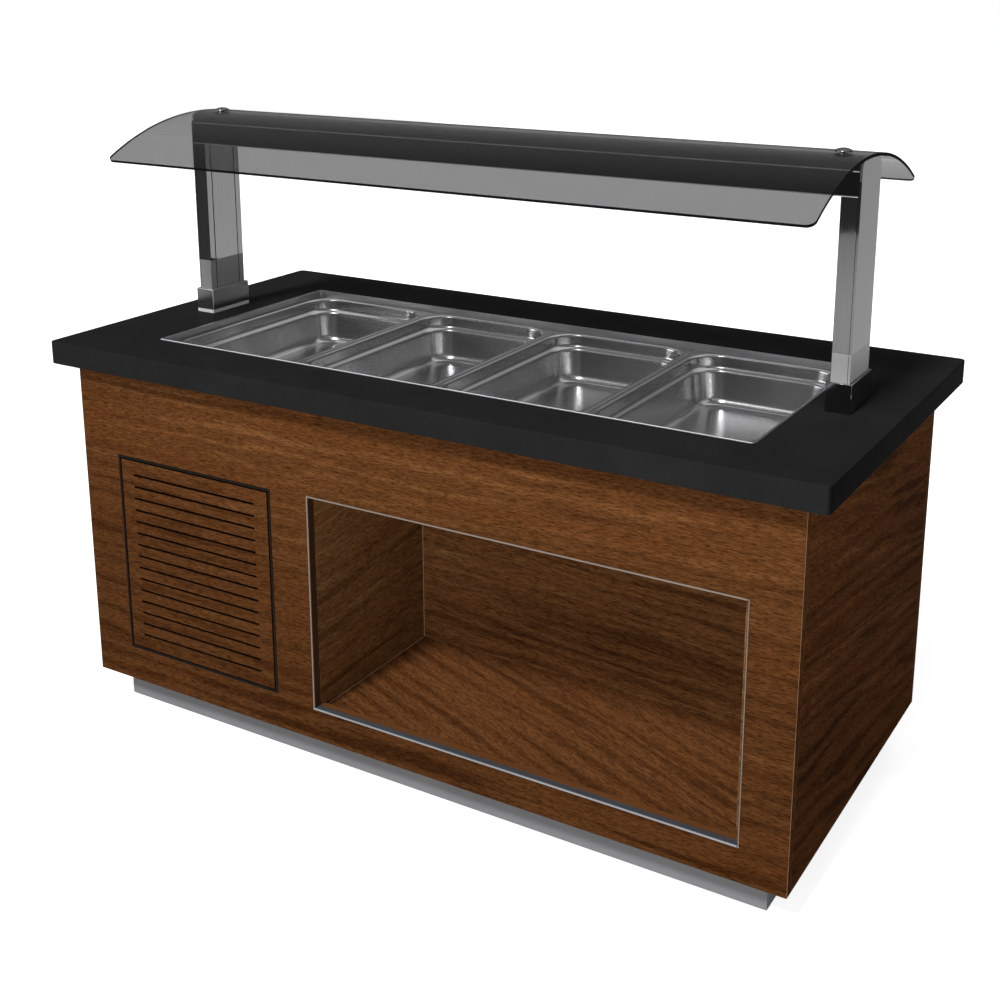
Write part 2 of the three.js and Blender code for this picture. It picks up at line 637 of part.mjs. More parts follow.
function makeWell() {
  const t = TANK_SHEET;
  const c = WELL_CORNER;
  const lipFoot = TOP_HEIGHT + SEAM;
  const lipTop = lipFoot + WELL_LIP_THICKNESS;
  const levels = [
    level(TANK_HALF_X, TANK_HALF_Y, c, TANK_FLOOR - t),
    level(TANK_HALF_X + t, TANK_HALF_Y + t, c, TANK_FLOOR),
    level(TANK_HALF_X + t, TANK_HALF_Y + t, c, LEDGE_HEIGHT - t),
    level(WELL_HALF_X + t, WELL_HALF_Y + t, c, LEDGE_HEIGHT - t),
    level(WELL_HALF_X + t, WELL_HALF_Y + t, c, lipFoot),
    level(WELL_HALF_X + WELL_LIP, WELL_HALF_Y + WELL_LIP, c + WELL_LIP, lipFoot),
    level(WELL_HALF_X + WELL_LIP, WELL_HALF_Y + WELL_LIP, c + WELL_LIP, lipTop),
    level(WELL_HALF_X, WELL_HALF_Y, c, lipTop),
    level(WELL_HALF_X, WELL_HALF_Y, c, LEDGE_HEIGHT),
    level(TANK_HALF_X, TANK_HALF_Y, c, LEDGE_HEIGHT),
    level(TANK_HALF_X, TANK_HALF_Y, c, TANK_FLOOR + t),
    level(TANK_HALF_X - t, TANK_HALF_Y - t, c - t, TANK_FLOOR),
  ];
  const tank = vessel(levels, WELL_X, WELL_Y);
  const drain = uprightBar(DRAIN_RADIUS + SEAM, DRAIN_X, DRAIN_Y, TANK_FLOOR - 2 * t, TANK_FLOOR + 1);
  add("well_tank", cut(tank, drain), finish.stainless());

  // The cross bars hang between the tank's long walls, level with its ledge.
  for (let i = 1; i < PAN_COUNT; i += 1) {
    const x = WELL_X + (i - PAN_COUNT / 2) * PAN_PITCH;
    const h = BAR_WIDTH / 2;
    const s = BAR_SHEET;
    const low = LEDGE_HEIGHT - BAR_DEPTH;
    const channel = polygon([
      [x - h, low],
      [x - h + s, low],
      [x - h + s, LEDGE_HEIGHT - s],
      [x + h - s, LEDGE_HEIGHT - s],
      [x + h - s, low],
      [x + h, low],
      [x + h, LEDGE_HEIGHT],
      [x - h, LEDGE_HEIGHT],
    ]);
    const reach = TANK_HALF_Y - SEAM;
    add("cross_bar_" + i, extrudeAlongY(channel, WELL_Y - reach, WELL_Y + reach), finish.stainless());
  }

  const hollowX = TANK_HALF_X + t + SEAM;
  const hollowY = TANK_HALF_Y + t + SEAM;
  const foam = cut(
    extrudeUp(
      roundedRectangle(hollowX + FOAM, hollowY + FOAM, c + FOAM / 2, WELL_X, WELL_Y),
      FOAM_BOTTOM,
      CABINET_TOP,
      3,
    ),
    extrudeUp(
      roundedRectangle(hollowX, hollowY, c, WELL_X, WELL_Y),
      TANK_FLOOR - t - SEAM,
      CABINET_TOP + 1,
      3,
    ),
    uprightBar(DRAIN_RADIUS + SEAM, DRAIN_X, DRAIN_Y, FOAM_BOTTOM - 1, TANK_FLOOR),
  );
  add("well_insulation", foam, finish.galvanised());

  const flangeFoot = TANK_FLOOR + SEAM;
  const pipe = turned([
    [DRAIN_RADIUS - DRAIN_WALL, TANK_FLOOR - DRAIN_LENGTH],
    [DRAIN_RADIUS, TANK_FLOOR - DRAIN_LENGTH],
    [DRAIN_RADIUS, flangeFoot],
    [DRAIN_RADIUS + DRAIN_FLANGE, flangeFoot],
    [DRAIN_RADIUS, flangeFoot + 2],
    [DRAIN_RADIUS - DRAIN_WALL, flangeFoot + 1],
    [DRAIN_RADIUS - DRAIN_WALL, TANK_FLOOR - DRAIN_LENGTH],
  ]);
  add("drain_pipe", solid(pipe.translate(DRAIN_X, DRAIN_Y, 0)), finish.stainless());
}

// A pressed pan: flat rim, wide mouth corners, stacking shoulder and leaning walls.
function makePans() {
  const t = PAN_SHEET;
  const rim = [PAN_WIDTH / 2, PAN_LENGTH / 2];
  const inset = (amount, corner, drop) =>
    level(rim[0] - amount, rim[1] - amount, corner, RIM_HEIGHT - drop);
  const mouth = PAN_RIM;
  const shoulder = mouth + PAN_UPPER_TAPER;
  const lower = shoulder + PAN_SHOULDER;
  const foot = lower + PAN_TAPER;
  const r = PAN_FLOOR_RADIUS;
  const depth = PAN_DEPTH - t;
  // Each level's inset from the rim's edge and its depth; the corners tighten from level to level.
  const inside = [
    [mouth - PAN_ROLL, 0],
    [mouth, PAN_ROLL],
    [shoulder - 1, PAN_SHOULDER_DEPTH - 5],
    [shoulder + 1, PAN_SHOULDER_DEPTH - 1],
    [lower, PAN_SHOULDER_DEPTH + 3],
    [foot, depth - r],
    [foot + r * 0.3, depth - r * 0.3],
    [foot + r, depth],
  ].map(([amount, drop], i) => inset(amount, PAN_MOUTH_CORNER + PAN_ROLL * (1 - i), drop));
  const outwards = ({ halfX, halfY, corner, z }) => level(halfX + t, halfY + t, corner + t, z - t / 2);
  const below = ({ halfX, halfY, corner, z }) => level(halfX, halfY, corner, z - t);
  const last = inside.length - 1;
  const outside = [below(inside[last]), ...inside.slice(1, last).reverse().map(outwards)];
  const edge = [
    inset(mouth - PAN_ROLL - t, PAN_MOUTH_CORNER + PAN_ROLL + t, t),
    inset(t, PAN_RIM_CORNER - t, t),
    inset(t, PAN_RIM_CORNER - t, PAN_RIM_DROP),
    inset(0, PAN_RIM_CORNER, PAN_RIM_DROP),
    inset(0, PAN_RIM_CORNER, t / 2),
    inset(t, PAN_RIM_CORNER - t, 0),
  ];
  for (let i = 0; i < PAN_COUNT; i += 1) {
    const x = WELL_X + (i - (PAN_COUNT - 1) / 2) * PAN_PITCH;
    add("food_pan_" + (i + 1), vessel([...outside, ...edge, ...inside], x, WELL_Y), finish.stainless());
  }
}

// ---------- Posts, beam and glass ----------

// The beam's end outline, which the posts' side plates share: upright faces, round shoulders and a crown
// that follows the glass. wall thins it to the beam's inside.
function beamOutline(bottom, wall = 0) {
  const half = POST_DEPTH / 2 - wall;
  const crease = BEAM_BOTTOM + BEAM_FRONT - wall / 2;
  const flat = half - BEAM_SHOULDER;
  const radius = GLASS_UNDER - SEAM - wall;
  const crown = (y) => GLASS_CENTRE + Math.sqrt(radius ** 2 - (y - GLASS_OFFSET) ** 2);
  const angle = (y) => Math.acos((y - GLASS_OFFSET) / radius);
  const shape = new THREE.Shape();
  shape.moveTo(-half, bottom);
  shape.lineTo(half, bottom);
  shape.lineTo(half, crease);
  shape.quadraticCurveTo(half, crown(half) - 1, flat, crown(flat));
  shape.absarc(GLASS_OFFSET, GLASS_CENTRE, radius, angle(flat), angle(-flat), false);
  shape.quadraticCurveTo(-half, crown(-half) - 1, -half, crease);
  shape.closePath();
  return shape;
}

function makePosts() {
  const half = POST_DEPTH / 2;
  const foot = TOP_HEIGHT + SEAM;
  const sides = [
    [-1, "left"],
    [1, "right"],
  ];
  const span = (sign, a, b) => [sign * a, sign * b].sort((p, q) => p - q);
  sides.forEach(([sign, side]) => {
    const bodyX = span(sign, POST_INSIDE, POST_PLATE - SEAM);
    const head = BEAM_BOTTOM - SEAM;
    const body = block(bodyX, aboutZero(half), [foot, head]);
    const hollow = block(
      span(sign, POST_INSIDE + POST_WALL, POST_PLATE - SEAM - POST_WALL),
      aboutZero(half - POST_WALL),
      [foot - 1, head + 1],
    );
    const groove = block(
      span(sign, POST_INSIDE - 1, POST_INSIDE + POST_WALL + 1),
      aboutZero(STRIP_WIDTH / 2),
      [foot - 1, head + 1],
    );
    add("post_" + side, cut(body, hollow, groove), finish.chrome());

    const stripX = span(sign, POST_INSIDE, POST_INSIDE + POST_WALL);
    const strip = block(stripX, aboutZero(STRIP_WIDTH / 2 - STRIP_LINE), [foot, head]);
    add("post_strip_" + side, strip, finish.chrome());

    const plateX = span(sign, POST_PLATE, POST_OUTSIDE);
    add("side_plate_" + side, extrudeAlongX(beamOutline(foot), ...plateX, 5), finish.chrome());

    const wall = COLLAR_WALL;
    const collarX = span(sign, POST_INSIDE - wall, POST_OUTSIDE + wall);
    const passX = span(sign, POST_INSIDE - SEAM, POST_OUTSIDE + SEAM);
    const collar = block(collarX, aboutZero(half + wall), [foot, foot + COLLAR_HEIGHT]);
    const pass = block(passX, aboutZero(half + SEAM), [foot - 1, foot + COLLAR_HEIGHT + 1]);
    add("post_collar_" + side, cut(collar, pass), finish.chrome());
  });
}

function makeCanopy() {
  const end = POST_PLATE - SEAM;
  const beam = extrudeAlongX(beamOutline(BEAM_BOTTOM), -end, end, 5);
  const hollow = extrudeAlongX(beamOutline(BEAM_BOTTOM + BEAM_WALL, BEAM_WALL), -end - 1, end + 1, 5);
  const lampX = POST_INSIDE - LAMP_INSET;
  const lampSlot = block(
    aboutZero(lampX + SEAM),
    aboutZero(LAMP_WIDTH / 2 + SEAM),
    [BEAM_BOTTOM - 1, BEAM_BOTTOM + BEAM_WALL + 1],
  );
  const studHoles = [-KNOB_X, KNOB_X].map((x) =>
    uprightBar(KNOB_SHANK + KNOB_CLEARANCE, x, KNOB_Y, BEAM_BOTTOM + BEAM_FRONT, GLASS_TOP + 1, 12),
  );
  add("lamp_beam", cut(beam, hollow, lampSlot, ...studHoles), finish.blackPaint());

  const lampZ = [BEAM_BOTTOM, BEAM_BOTTOM + LAMP_THICKNESS];
  add("lamp_diffuser", block(aboutZero(lampX), aboutZero(LAMP_WIDTH / 2), lampZ), finish.lamp());

  const reach = POST_OUTSIDE + GLASS_OVERHANG;
  const low = Math.PI / 2 - THREE.MathUtils.degToRad(GLASS_HALF_ANGLE);
  const high = Math.PI - low;
  const section = new THREE.Shape();
  section.absarc(GLASS_OFFSET, GLASS_CENTRE, GLASS_RADIUS, low, high, false);
  section.absarc(GLASS_OFFSET, GLASS_CENTRE, GLASS_UNDER, high, low, true);
  section.closePath();
  const bent = extrudeAlongX(section, -reach, reach, 24);
  const halfSpread = GLASS_RADIUS * Math.sin(THREE.MathUtils.degToRad(GLASS_HALF_ANGLE));
  const plan = extrudeUp(
    roundedRectangle(reach, halfSpread, GLASS_CORNER, 0, GLASS_OFFSET),
    BEAM_BOTTOM - GLASS_RADIUS / 2,
    GLASS_TOP + 1,
    4,
  );
  add("glass_guard", cut(bent.intersect(plan), ...studHoles), finish.glass());

  // Each knob's shank goes through the glass into the beam.
  const seat = GLASS_TOP + SEAM;
  const studEnd = seat - GLASS_THICKNESS - KNOB_STUD;
  const knob = () =>
    turned([
      [0, studEnd],
      [KNOB_SHANK, studEnd],
      [KNOB_SHANK, seat],
      [KNOB_RADIUS, seat],
      [KNOB_RADIUS, seat + KNOB_HEIGHT * 0.35],
      [KNOB_RADIUS * 0.8, seat + KNOB_HEIGHT * 0.75],
      [KNOB_RADIUS * 0.4, seat + KNOB_HEIGHT * 0.97],
      [0, seat + KNOB_HEIGHT],
    ]);
  add("glass_knob_left", solid(knob().translate(-KNOB_X, KNOB_Y, 0)), finish.chrome());
  add("glass_knob_right", solid(knob().translate(KNOB_X, KNOB_Y, 0)), finish.chrome());
}

// ---------- Condensing unit ----------

function makeUnit() {
  const trayX = [UNIT_LEFT, UNIT_LEFT + UNIT_LENGTH];
  const trayY = [UNIT_FRONT, UNIT_FRONT + UNIT_DEPTH];
  const trayZ = FLOOR_TOP + SEAM;
  const deck = trayZ + UNIT_TRAY;
  const s = UNIT_TRAY_SHEET;
  const tray = cut(
    block(trayX, trayY, [trayZ, deck]),
    block([trayX[0] + s, trayX[1] - s], [trayY[0] - 1, trayY[1] + 1], [trayZ - 1, deck - s]),
  );
  add("unit_tray", tray, finish.galvanised());

  const middle = UNIT_LEFT + UNIT_LENGTH / 2;
  const coilFront = UNIT_FRONT + COIL_SETBACK;
  const coilY = [coilFront, coilFront + COIL_DEPTH];
  const coilZ = deck + SEAM;
  makeCoil(middle, coilY, coilZ);

  const axisZ = coilZ + COIL_HEIGHT / 2;
  const shroudY = [coilY[1] + SEAM, coilY[1] + SEAM + SHROUD_DEPTH];
  const bore = FAN_RADIUS + FAN_TIP_GAP;
  const halfCoil = COIL_LENGTH / 2;
  const box = block([middle - halfCoil, middle + halfCoil], shroudY, [coilZ, coilZ + COIL_HEIGHT]);
  const w = SHROUD_SHEET;
  const funnel = block(
    [middle - halfCoil + w, middle + halfCoil - w],
    [shroudY[0] - 1, shroudY[1] - w],
    [coilZ + w, coilZ + COIL_HEIGHT - w],
  );
  const mouth = barAlongY(bore, middle, axisZ, shroudY[0], shroudY[1] + 1, 32);
  add("fan_shroud", cut(box, funnel, mouth), finish.galvanised());

  // The motor hangs on three arms across the shroud's mouth, and its shaft carries the fan.
  const armY = [shroudY[1] + SEAM, shroudY[1] + SEAM + MOTOR_ARM_SHEET];
  const motorY = [armY[0], armY[0] + MOTOR_LENGTH];
  const fanY = [armY[0] - FAN_RUNNING - FAN_DEPTH, armY[0] - FAN_RUNNING];
  const drum = barAlongY(MOTOR_RADIUS, middle, axisZ, ...motorY, 24);
  const shaft = barAlongY(MOTOR_SHAFT, middle, axisZ, fanY[0], motorY[0] + 1, 12);
  const arms = [90, 210, 330].map((degrees) =>
    block(aboutZero(MOTOR_ARM / 2), armY, [MOTOR_RADIUS * 0.5, bore + MOTOR_ARM / 2])
      .rotate([0, degrees - 90, 0])
      .translate([middle, 0, axisZ]),
  );
  add("fan_motor", join(drum, shaft, ...arms), finish.blackPaint());

  const hub = barAlongY(FAN_HUB, middle, axisZ, ...fanY, 20);
  const blades = Array.from({ length: FAN_BLADES }, (_, i) =>
    fanBlade((i * 360) / FAN_BLADES, middle, axisZ, fanY),
  );
  const shaftHole = barAlongY(MOTOR_SHAFT + PIVOT_CLEARANCE, middle, axisZ, fanY[0] - 1, fanY[1] + 1, 12);
  add("fan_blades", cut(join(hub, ...blades), shaftHole), finish.plastic());

  const compressorY = motorY[1] + COMPRESSOR_ROOM + COMPRESSOR_RADIUS;
  makeCompressor(middle, compressorY, deck + SEAM);
}

// A flat blade set at an angle, cut to the fan's circle.
function fanBlade(degrees, x, z, [y0, y1]) {
  const root = FAN_HUB * 0.7;
  const plate = new THREE.BoxGeometry(FAN_CHORD, BLADE_SHEET, FAN_RADIUS - root);
  plate.translate(0, 0, (FAN_RADIUS + root) / 2);
  plate.rotateZ(THREE.MathUtils.degToRad(FAN_PITCH));
  plate.rotateY(THREE.MathUtils.degToRad(degrees));
  plate.translate(x, (y0 + y1) / 2, z);
  return solid(plate).intersect(barAlongY(FAN_RADIUS, x, z, y0 - 4, y1 + 4, 32));
}

// Fins threaded on the coil's tubes.
function makeCoil(x, [y0, y1], z) {
  const half = COIL_LENGTH / 2;
  const pitch = (COIL_LENGTH - FIN_SHEET) / (COIL_FINS - 1);
  const fins = Array.from({ length: COIL_FINS }, (_, i) => {
    const low = x - half + i * pitch;
    return block([low, low + FIN_SHEET], [y0, y1], [z, z + COIL_HEIGHT]);
  });
  const tubes = Array.from({ length: COIL_ROWS }, (_, i) => {
    const geometry = new THREE.CylinderGeometry(COIL_TUBE, COIL_TUBE, COIL_LENGTH + 2 * COIL_TUBE, 6);
    geometry.rotateZ(Math.PI / 2);
    geometry.translate(x, (y0 + y1) / 2, z + ((i + 0.5) * COIL_HEIGHT) / COIL_ROWS);
    return solid(geometry);
  });
  add("condenser_coil", join(...fins, ...tubes), finish.aluminium());
}

function makeCompressor(x, y, z) {
  const r = COMPRESSOR_RADIUS;
  const h = COMPRESSOR_HEIGHT;
  const pot = turned(
    [
      [0, COMPRESSOR_FOOT],
      [r * 0.7, COMPRESSOR_FOOT],
      [r * 0.96, COMPRESSOR_FOOT + h * 0.12],
      [r, COMPRESSOR_FOOT + h * 0.45],
      [r * 1.04, COMPRESSOR_FOOT + h * 0.47],
      [r * 1.04, COMPRESSOR_FOOT + h * 0.5],
      [r, COMPRESSOR_FOOT + h * 0.52],
      [r * 0.95, COMPRESSOR_FOOT + h * 0.84],
      [r * 0.7, COMPRESSOR_FOOT + h * 0.96],
      [0, COMPRESSOR_FOOT + h],
    ],
    28,
  );
  const foot = COMPRESSOR_FOOT;
  const footX = r - foot;
  const footY = r * 0.6 - foot;
  const base = block([x - r, x + r], [y - r * 0.6, y + r * 0.6], [z + foot - 1, z + foot + 3]);
  const feet = corners().map(([sx, sy]) =>
    uprightBar(foot, x + sx * footX, y + sy * footY, z, z + foot, 12),
  );
  add("compressor", join(solid(pot.translate(x, y, z)), base, ...feet), finish.blackPaint());
}

// ---------- Controls ----------

function makeControls() {
  const boxX = [CONTROL_LEFT, CONTROL_LEFT + CONTROL_WIDTH];
  const boxY = [CONTROL_FRONT, CONTROL_FRONT + CONTROL_DEPTH];
  const middle = CONTROL_LEFT + CONTROL_WIDTH / 2;
  const dialZ = FOAM_BOTTOM - DIAL_DROP;
  const rockerZ = FOAM_BOTTOM - ROCKER_DROP;
  const room = ROCKER_GAP;
  const well = block(
    [middle - ROCKER_WIDTH / 2 - room, middle + ROCKER_WIDTH / 2 + room],
    [CONTROL_FRONT - 1, CONTROL_FRONT + ROCKER_POCKET],
    [rockerZ - ROCKER_HEIGHT / 2 - room, rockerZ + ROCKER_HEIGHT / 2 + room],
  );
  const shankEnd = CONTROL_FRONT + DIAL_SHANK_LENGTH;
  const shankHole = DIAL_SHANK + PIVOT_CLEARANCE;
  const hole = barAlongY(shankHole, middle, dialZ, CONTROL_FRONT - 1, shankEnd + 1, 12);
  const pivotY = CONTROL_FRONT + 2;
  const pinEnd = ROCKER_WIDTH / 2 + room + ROCKER_PIN_REACH;
  const pinRoom = ROCKER_PIN + PIVOT_CLEARANCE;
  const pinHole = barAlongX(pinRoom, pivotY, rockerZ, middle, pinEnd + PIVOT_CLEARANCE, 10);
  const boxTop = FOAM_BOTTOM - SEAM;
  const box = block(boxX, boxY, [boxTop - CONTROL_HEIGHT, boxTop]);
  add("control_box", cut(box, well, hole, pinHole), finish.greyPaint());

  const dialY = [CONTROL_FRONT - SEAM - DIAL_HEIGHT, CONTROL_FRONT - SEAM];
  const skirt = barAlongY(DIAL_RADIUS, middle, dialZ, dialY[1] - 3, dialY[1], 24);
  const grip = barAlongY(DIAL_RADIUS * 0.75, middle, dialZ, dialY[0], dialY[1] - 2, 24);
  const shank = barAlongY(DIAL_SHANK, middle, dialZ, dialY[1] - 1, shankEnd, 12);
  const ridge = block(
    [middle - 1.5, middle + 1.5],
    [dialY[0] - 1, dialY[0] + 3],
    [dialZ, dialZ + DIAL_RADIUS * 0.7],
  );
  add("thermostat_dial", join(skirt, grip, shank, ridge), finish.plastic());

  // The rocker's face is two flats that meet at its pivot, and it rests pressed in at its foot.
  const h = ROCKER_HEIGHT / 2;
  const tilt = Math.tan(THREE.MathUtils.degToRad(ROCKER_TILT)) * h;
  const face = CONTROL_FRONT - 1 - pivotY;
  const profile = polygon([
    [face - tilt, -h],
    [face + 6, 1 - h],
    [face + 8, 0],
    [face + 6, h - 1],
    [face - tilt, h],
    [face, 0],
  ]);
  const body = extrudeAlongX(profile, -ROCKER_WIDTH / 2, ROCKER_WIDTH / 2);
  const pin = barAlongX(ROCKER_PIN, 0, 0, 0, pinEnd, 10);
  const rocker = join(body, pin).rotate([ROCKER_TILT, 0, 0]).translate([middle, pivotY, rockerZ]);
  add("power_rocker", rocker, finish.plastic());
}

// ---------- Assembly ----------

makeCabinet();
makeNiche();
makeVent();
makeBase();
makeWorktop();
makeWell();
makePans();
makePosts();
makeCanopy();
makeUnit();
makeControls();

export default group;
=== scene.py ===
# The looks of a mobile salad bar: walnut laminate cabinet, polished black stone worktop, steel pans in a cold
# well and a smoked glass guard on two posts. Everything is in metres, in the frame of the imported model.

import math

import bmesh
import bpy
from mathutils import Matrix, Vector


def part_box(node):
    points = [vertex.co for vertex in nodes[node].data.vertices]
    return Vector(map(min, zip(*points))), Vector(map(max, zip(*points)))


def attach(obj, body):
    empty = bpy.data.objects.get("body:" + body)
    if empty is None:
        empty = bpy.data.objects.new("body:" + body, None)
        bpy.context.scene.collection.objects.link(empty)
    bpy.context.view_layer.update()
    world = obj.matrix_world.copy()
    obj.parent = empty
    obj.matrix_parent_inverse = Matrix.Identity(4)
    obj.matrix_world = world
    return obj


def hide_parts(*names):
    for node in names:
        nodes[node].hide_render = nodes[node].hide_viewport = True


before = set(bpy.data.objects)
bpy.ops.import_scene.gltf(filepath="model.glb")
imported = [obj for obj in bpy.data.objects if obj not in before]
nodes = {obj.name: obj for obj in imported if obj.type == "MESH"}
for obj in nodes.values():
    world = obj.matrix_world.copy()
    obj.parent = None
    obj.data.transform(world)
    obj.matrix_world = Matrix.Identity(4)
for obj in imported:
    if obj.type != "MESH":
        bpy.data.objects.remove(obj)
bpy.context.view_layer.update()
MM = 0.001
# Directions; the guests stand in front.
RIGHTWARD = (1, 0, 0)
LEFTWARD = (-1, 0, 0)
BACKWARD = (0, 1, 0)
FORWARD = (0, -1, 0)
UPWARD = (0, 0, 1)

# ---------- Camera ----------

CAMERA_PLACE = Vector((1.44685, -2.39137, 1.57973))
CAMERA_AZIMUTH = math.radians(30.7093)
CAMERA_ELEVATION = math.radians(14.3749)
CAMERA_LENS = 51.098
CAMERA_SENSOR = 36
CAMERA_SHIFT = (-0.008, -0.17)
CAMERA_REACH = 100


def make_camera():
    data = bpy.data.cameras.new("camera")
    data.lens = CAMERA_LENS
    data.sensor_width = CAMERA_SENSOR
    data.shift_x, data.shift_y = CAMERA_SHIFT
    data.clip_end = CAMERA_REACH
    camera = bpy.data.objects.new("camera", data)
    a, e = CAMERA_AZIMUTH, CAMERA_ELEVATION
    back = Vector((math.sin(a) * math.cos(e), -math.cos(a) * math.cos(e), math.sin(e)))
    right = Vector((math.cos(a), math.sin(a), 0))
    up = back.cross(right)
    turn = Matrix((right, up, back)).transposed().to_4x4()
    camera.matrix_world = Matrix.Translation(CAMERA_PLACE) @ turn
    bpy.context.scene.collection.objects.link(camera)
    bpy.context.scene.camera = camera


# ---------- Node trees ----------

NOISE_LOW = 0.3  # nearly all of a noise lies between these two
NOISE_HIGH = 0.7


class Graph:
    """A node tree with short calls for the nodes that the finishes share."""

    def __init__(self, tree):
        self.tree = tree
        tree.nodes.clear()

    def node(self, kind, inputs=(), **settings):
        made = self.tree.nodes.new(kind)
        for key, value in settings.items():
            setattr(made, key, value)
        for key, value in dict(inputs).items():
            self.put(value, made.inputs[key])
        return made

    def put(self, value, socket):
        if isinstance(value, bpy.types.NodeSocket):
            self.tree.links.new(value, socket)
        else:
            socket.default_value = value

    def object_place(self):
        return self.node("ShaderNodeTexCoord").outputs["Object"]

    def axis(self, vector, name):
        return self.node("ShaderNodeSeparateXYZ", {"Vector": vector}).outputs[name]

    def mapped(self, vector, scale=(1, 1, 1), rotation=(0, 0, 0), location=(0, 0, 0)):
        inputs = {"Vector": vector, "Scale": scale, "Rotation": rotation, "Location": location}
        return self.node("ShaderNodeMapping", inputs).outputs["Vector"]

    def noise(self, vector, scale, detail, roughness, distortion=0.0):
        inputs = {
            "Vector": vector,
            "Scale": scale,
            "Detail": detail,
            "Roughness": roughness,
            "Distortion": distortion,
        }
        return self.node("ShaderNodeTexNoise", inputs).outputs["Fac"]

    def stretched_noise(self, vector, stretch, detail, roughness, distortion=0.0):
        """Noise with a scale of its own along each axis."""
        return self.noise(self.mapped(vector, stretch), 1.0, detail, roughness, distortion)

    def cells(self, vector, scale):
        return self.node("ShaderNodeTexVoronoi", {"Vector": vector, "Scale": scale}).outputs

    def ramp(self, factor, stops):
        """Colours or greys along a factor; stops are (place, value)."""
        made = self.node("ShaderNodeValToRGB", {"Fac": factor})
        elements = made.color_ramp.elements
        while len(elements) < len(stops):
            elements.new(1)
        for element, (place, value) in zip(elements, stops):
            element.position = place
            element.color = grey(value) if isinstance(value, (int, float)) else rgba(value)
        return made.outputs["Color"]

    def between(self, noise, low, high):
        """Colours or greys from a noise's low parts to its high ones."""
        return self.ramp(noise, [(NOISE_LOW, low), (NOISE_HIGH, high)])

    def math(self, operation, *values):
        made = self.node("ShaderNodeMath", operation=operation)
        for value, socket in zip(values, made.inputs):
            self.put(value, socket)
        return made.outputs["Value"]

    def weighted(self, a, share_a, b, share_b):
        return self.math("ADD", self.math("MULTIPLY", a, share_a), self.math("MULTIPLY", b, share_b))

    def swing(self, value, middle, factor):
        """The value's distance from a middle, times a factor."""
        return self.math("MULTIPLY", self.math("SUBTRACT", value, middle), factor)

    def rescaled(self, value, low, high, top=1.0):
        """The value's way from low to high, as a number from nought to top."""
        inputs = {"Value": value, "From Min": low, "From Max": high, "To Max": top}
        return self.node("ShaderNodeMapRange", inputs).outputs["Result"]

    def mix(self, factor, a, b, blend="MIX"):
        """Two colours mixed; the node takes them in sockets 6 and 7 and gives their mix in output 2."""
        made = self.node("ShaderNodeMix", data_type="RGBA", blend_type=blend)
        self.put(factor, made.inputs[0])
        self.put(a if isinstance(a, bpy.types.NodeSocket) else rgba(a), made.inputs[6])
        self.put(b if isinstance(b, bpy.types.NodeSocket) else rgba(b), made.inputs[7])
        return made.outputs[2]

    def mix_shaders(self, factor, a, b):
        made = self.node("ShaderNodeMixShader", {"Fac": factor})
        self.put(a, made.inputs[1])
        self.put(b, made.inputs[2])
        return made.outputs["Shader"]

    def background(self, colour, strength):
        inputs = {"Color": colour, "Strength": strength}
        return self.node("ShaderNodeBackground", inputs).outputs["Background"]

    def bump(self, height, distance, strength):
        inputs = {"Height": height, "Distance": distance, "Strength": strength}
        return self.node("ShaderNodeBump", inputs).outputs["Normal"]

    def surface(self, shader):
        self.node("ShaderNodeOutputMaterial", {"Surface": shader})


def rgba(colour):
    return (*colour[:3], 1.0)


def grey(value):
    return (value, value, value, 1.0)


def scaled(tint, factor):
    return [channel * factor for channel in tint]


def empty_material(name):
    made = bpy.data.materials.new(name)
    made.use_nodes = True
    return made, Graph(made.node_tree)


def material(name, build):
    """A material whose tree build(graph) fills with the inputs of its Principled shader."""
    made, graph = empty_material(name)
    inputs = build(graph)
    graph.surface(graph.node("ShaderNodeBsdfPrincipled", inputs).outputs["BSDF"])
    return made


# ---------- Walnut laminate ----------

WALNUT_DARK = (0.052, 0.0178, 0.0056)
WALNUT_BASE = (0.106, 0.0402, 0.0128)
WALNUT_LIGHT = (0.168, 0.0690, 0.0232)
WALNUT_RED = (0.112, 0.0372, 0.0106)
WALNUT_TONES = [(0.18, WALNUT_DARK), (0.46, WALNUT_BASE), (0.60, WALNUT_BASE), (0.82, WALNUT_LIGHT)]
# Painted shade, near black, deep in the ventilation slots.
SLOT_PAINTED_SHADE = (0.0060, 0.0048, 0.0040)
# A pale line on the cabinet's corners, partly edging and partly a painted highlight.
PALE_SEAM_HIGHLIGHT = ((0.19, 0.105, 0.055), (0.34, 0.21, 0.12))
OUTER_EDGE_DEPTH = 0.374  # beyond this distance from the middle, edges belong to the front or back face
OUTER_EDGE_REACH = 0.785  # and beyond this one, to the cabinet's corners
# Noises, per metre along and across the grain.
FIGURE_SCALE = (1.0, 8.0, 8.0)
STREAK_SCALE = (2.4, 40.0, 40.0)
FIBRE_SCALE = (40.0, 360.0, 360.0)
PORE_SCALE = (85.0, 640.0, 640.0)
PATCH_SCALE = (1.4, 4.0, 4.0)
BLUSH_SCALE = (2.0, 16.0, 16.0)
RINGS_PER_METRE = 26
RING_SWAY = 26.0  # radians by which the figure bends the rings
RING_SHARE = 0.26
STREAK_SHARE = 0.74
PATCH_CONTRAST = 0.50
MIDDLE_TONE = 0.5
MIDDLE_HEIGHT = 0.55
# Painted light and shade by height: the boards are darker low down and lighter high up.
PAINTED_LIGHT_PER_METRE = 0.22  # the boards are lighter towards the top
PAINTED_LIGHT_BY_HEIGHT = [(0.40, 0.78), (0.72, 1.06)]
FIBRE_BRIGHTNESS = [(0.30, 0.50), (0.50, 1.0), (0.72, 1.42)]
PORE_BRIGHTNESS = [(0.35, 0.38), (0.50, 1.05)]
PORE_SHARE = 0.85
LAMINATE_SPECULAR = 0.001


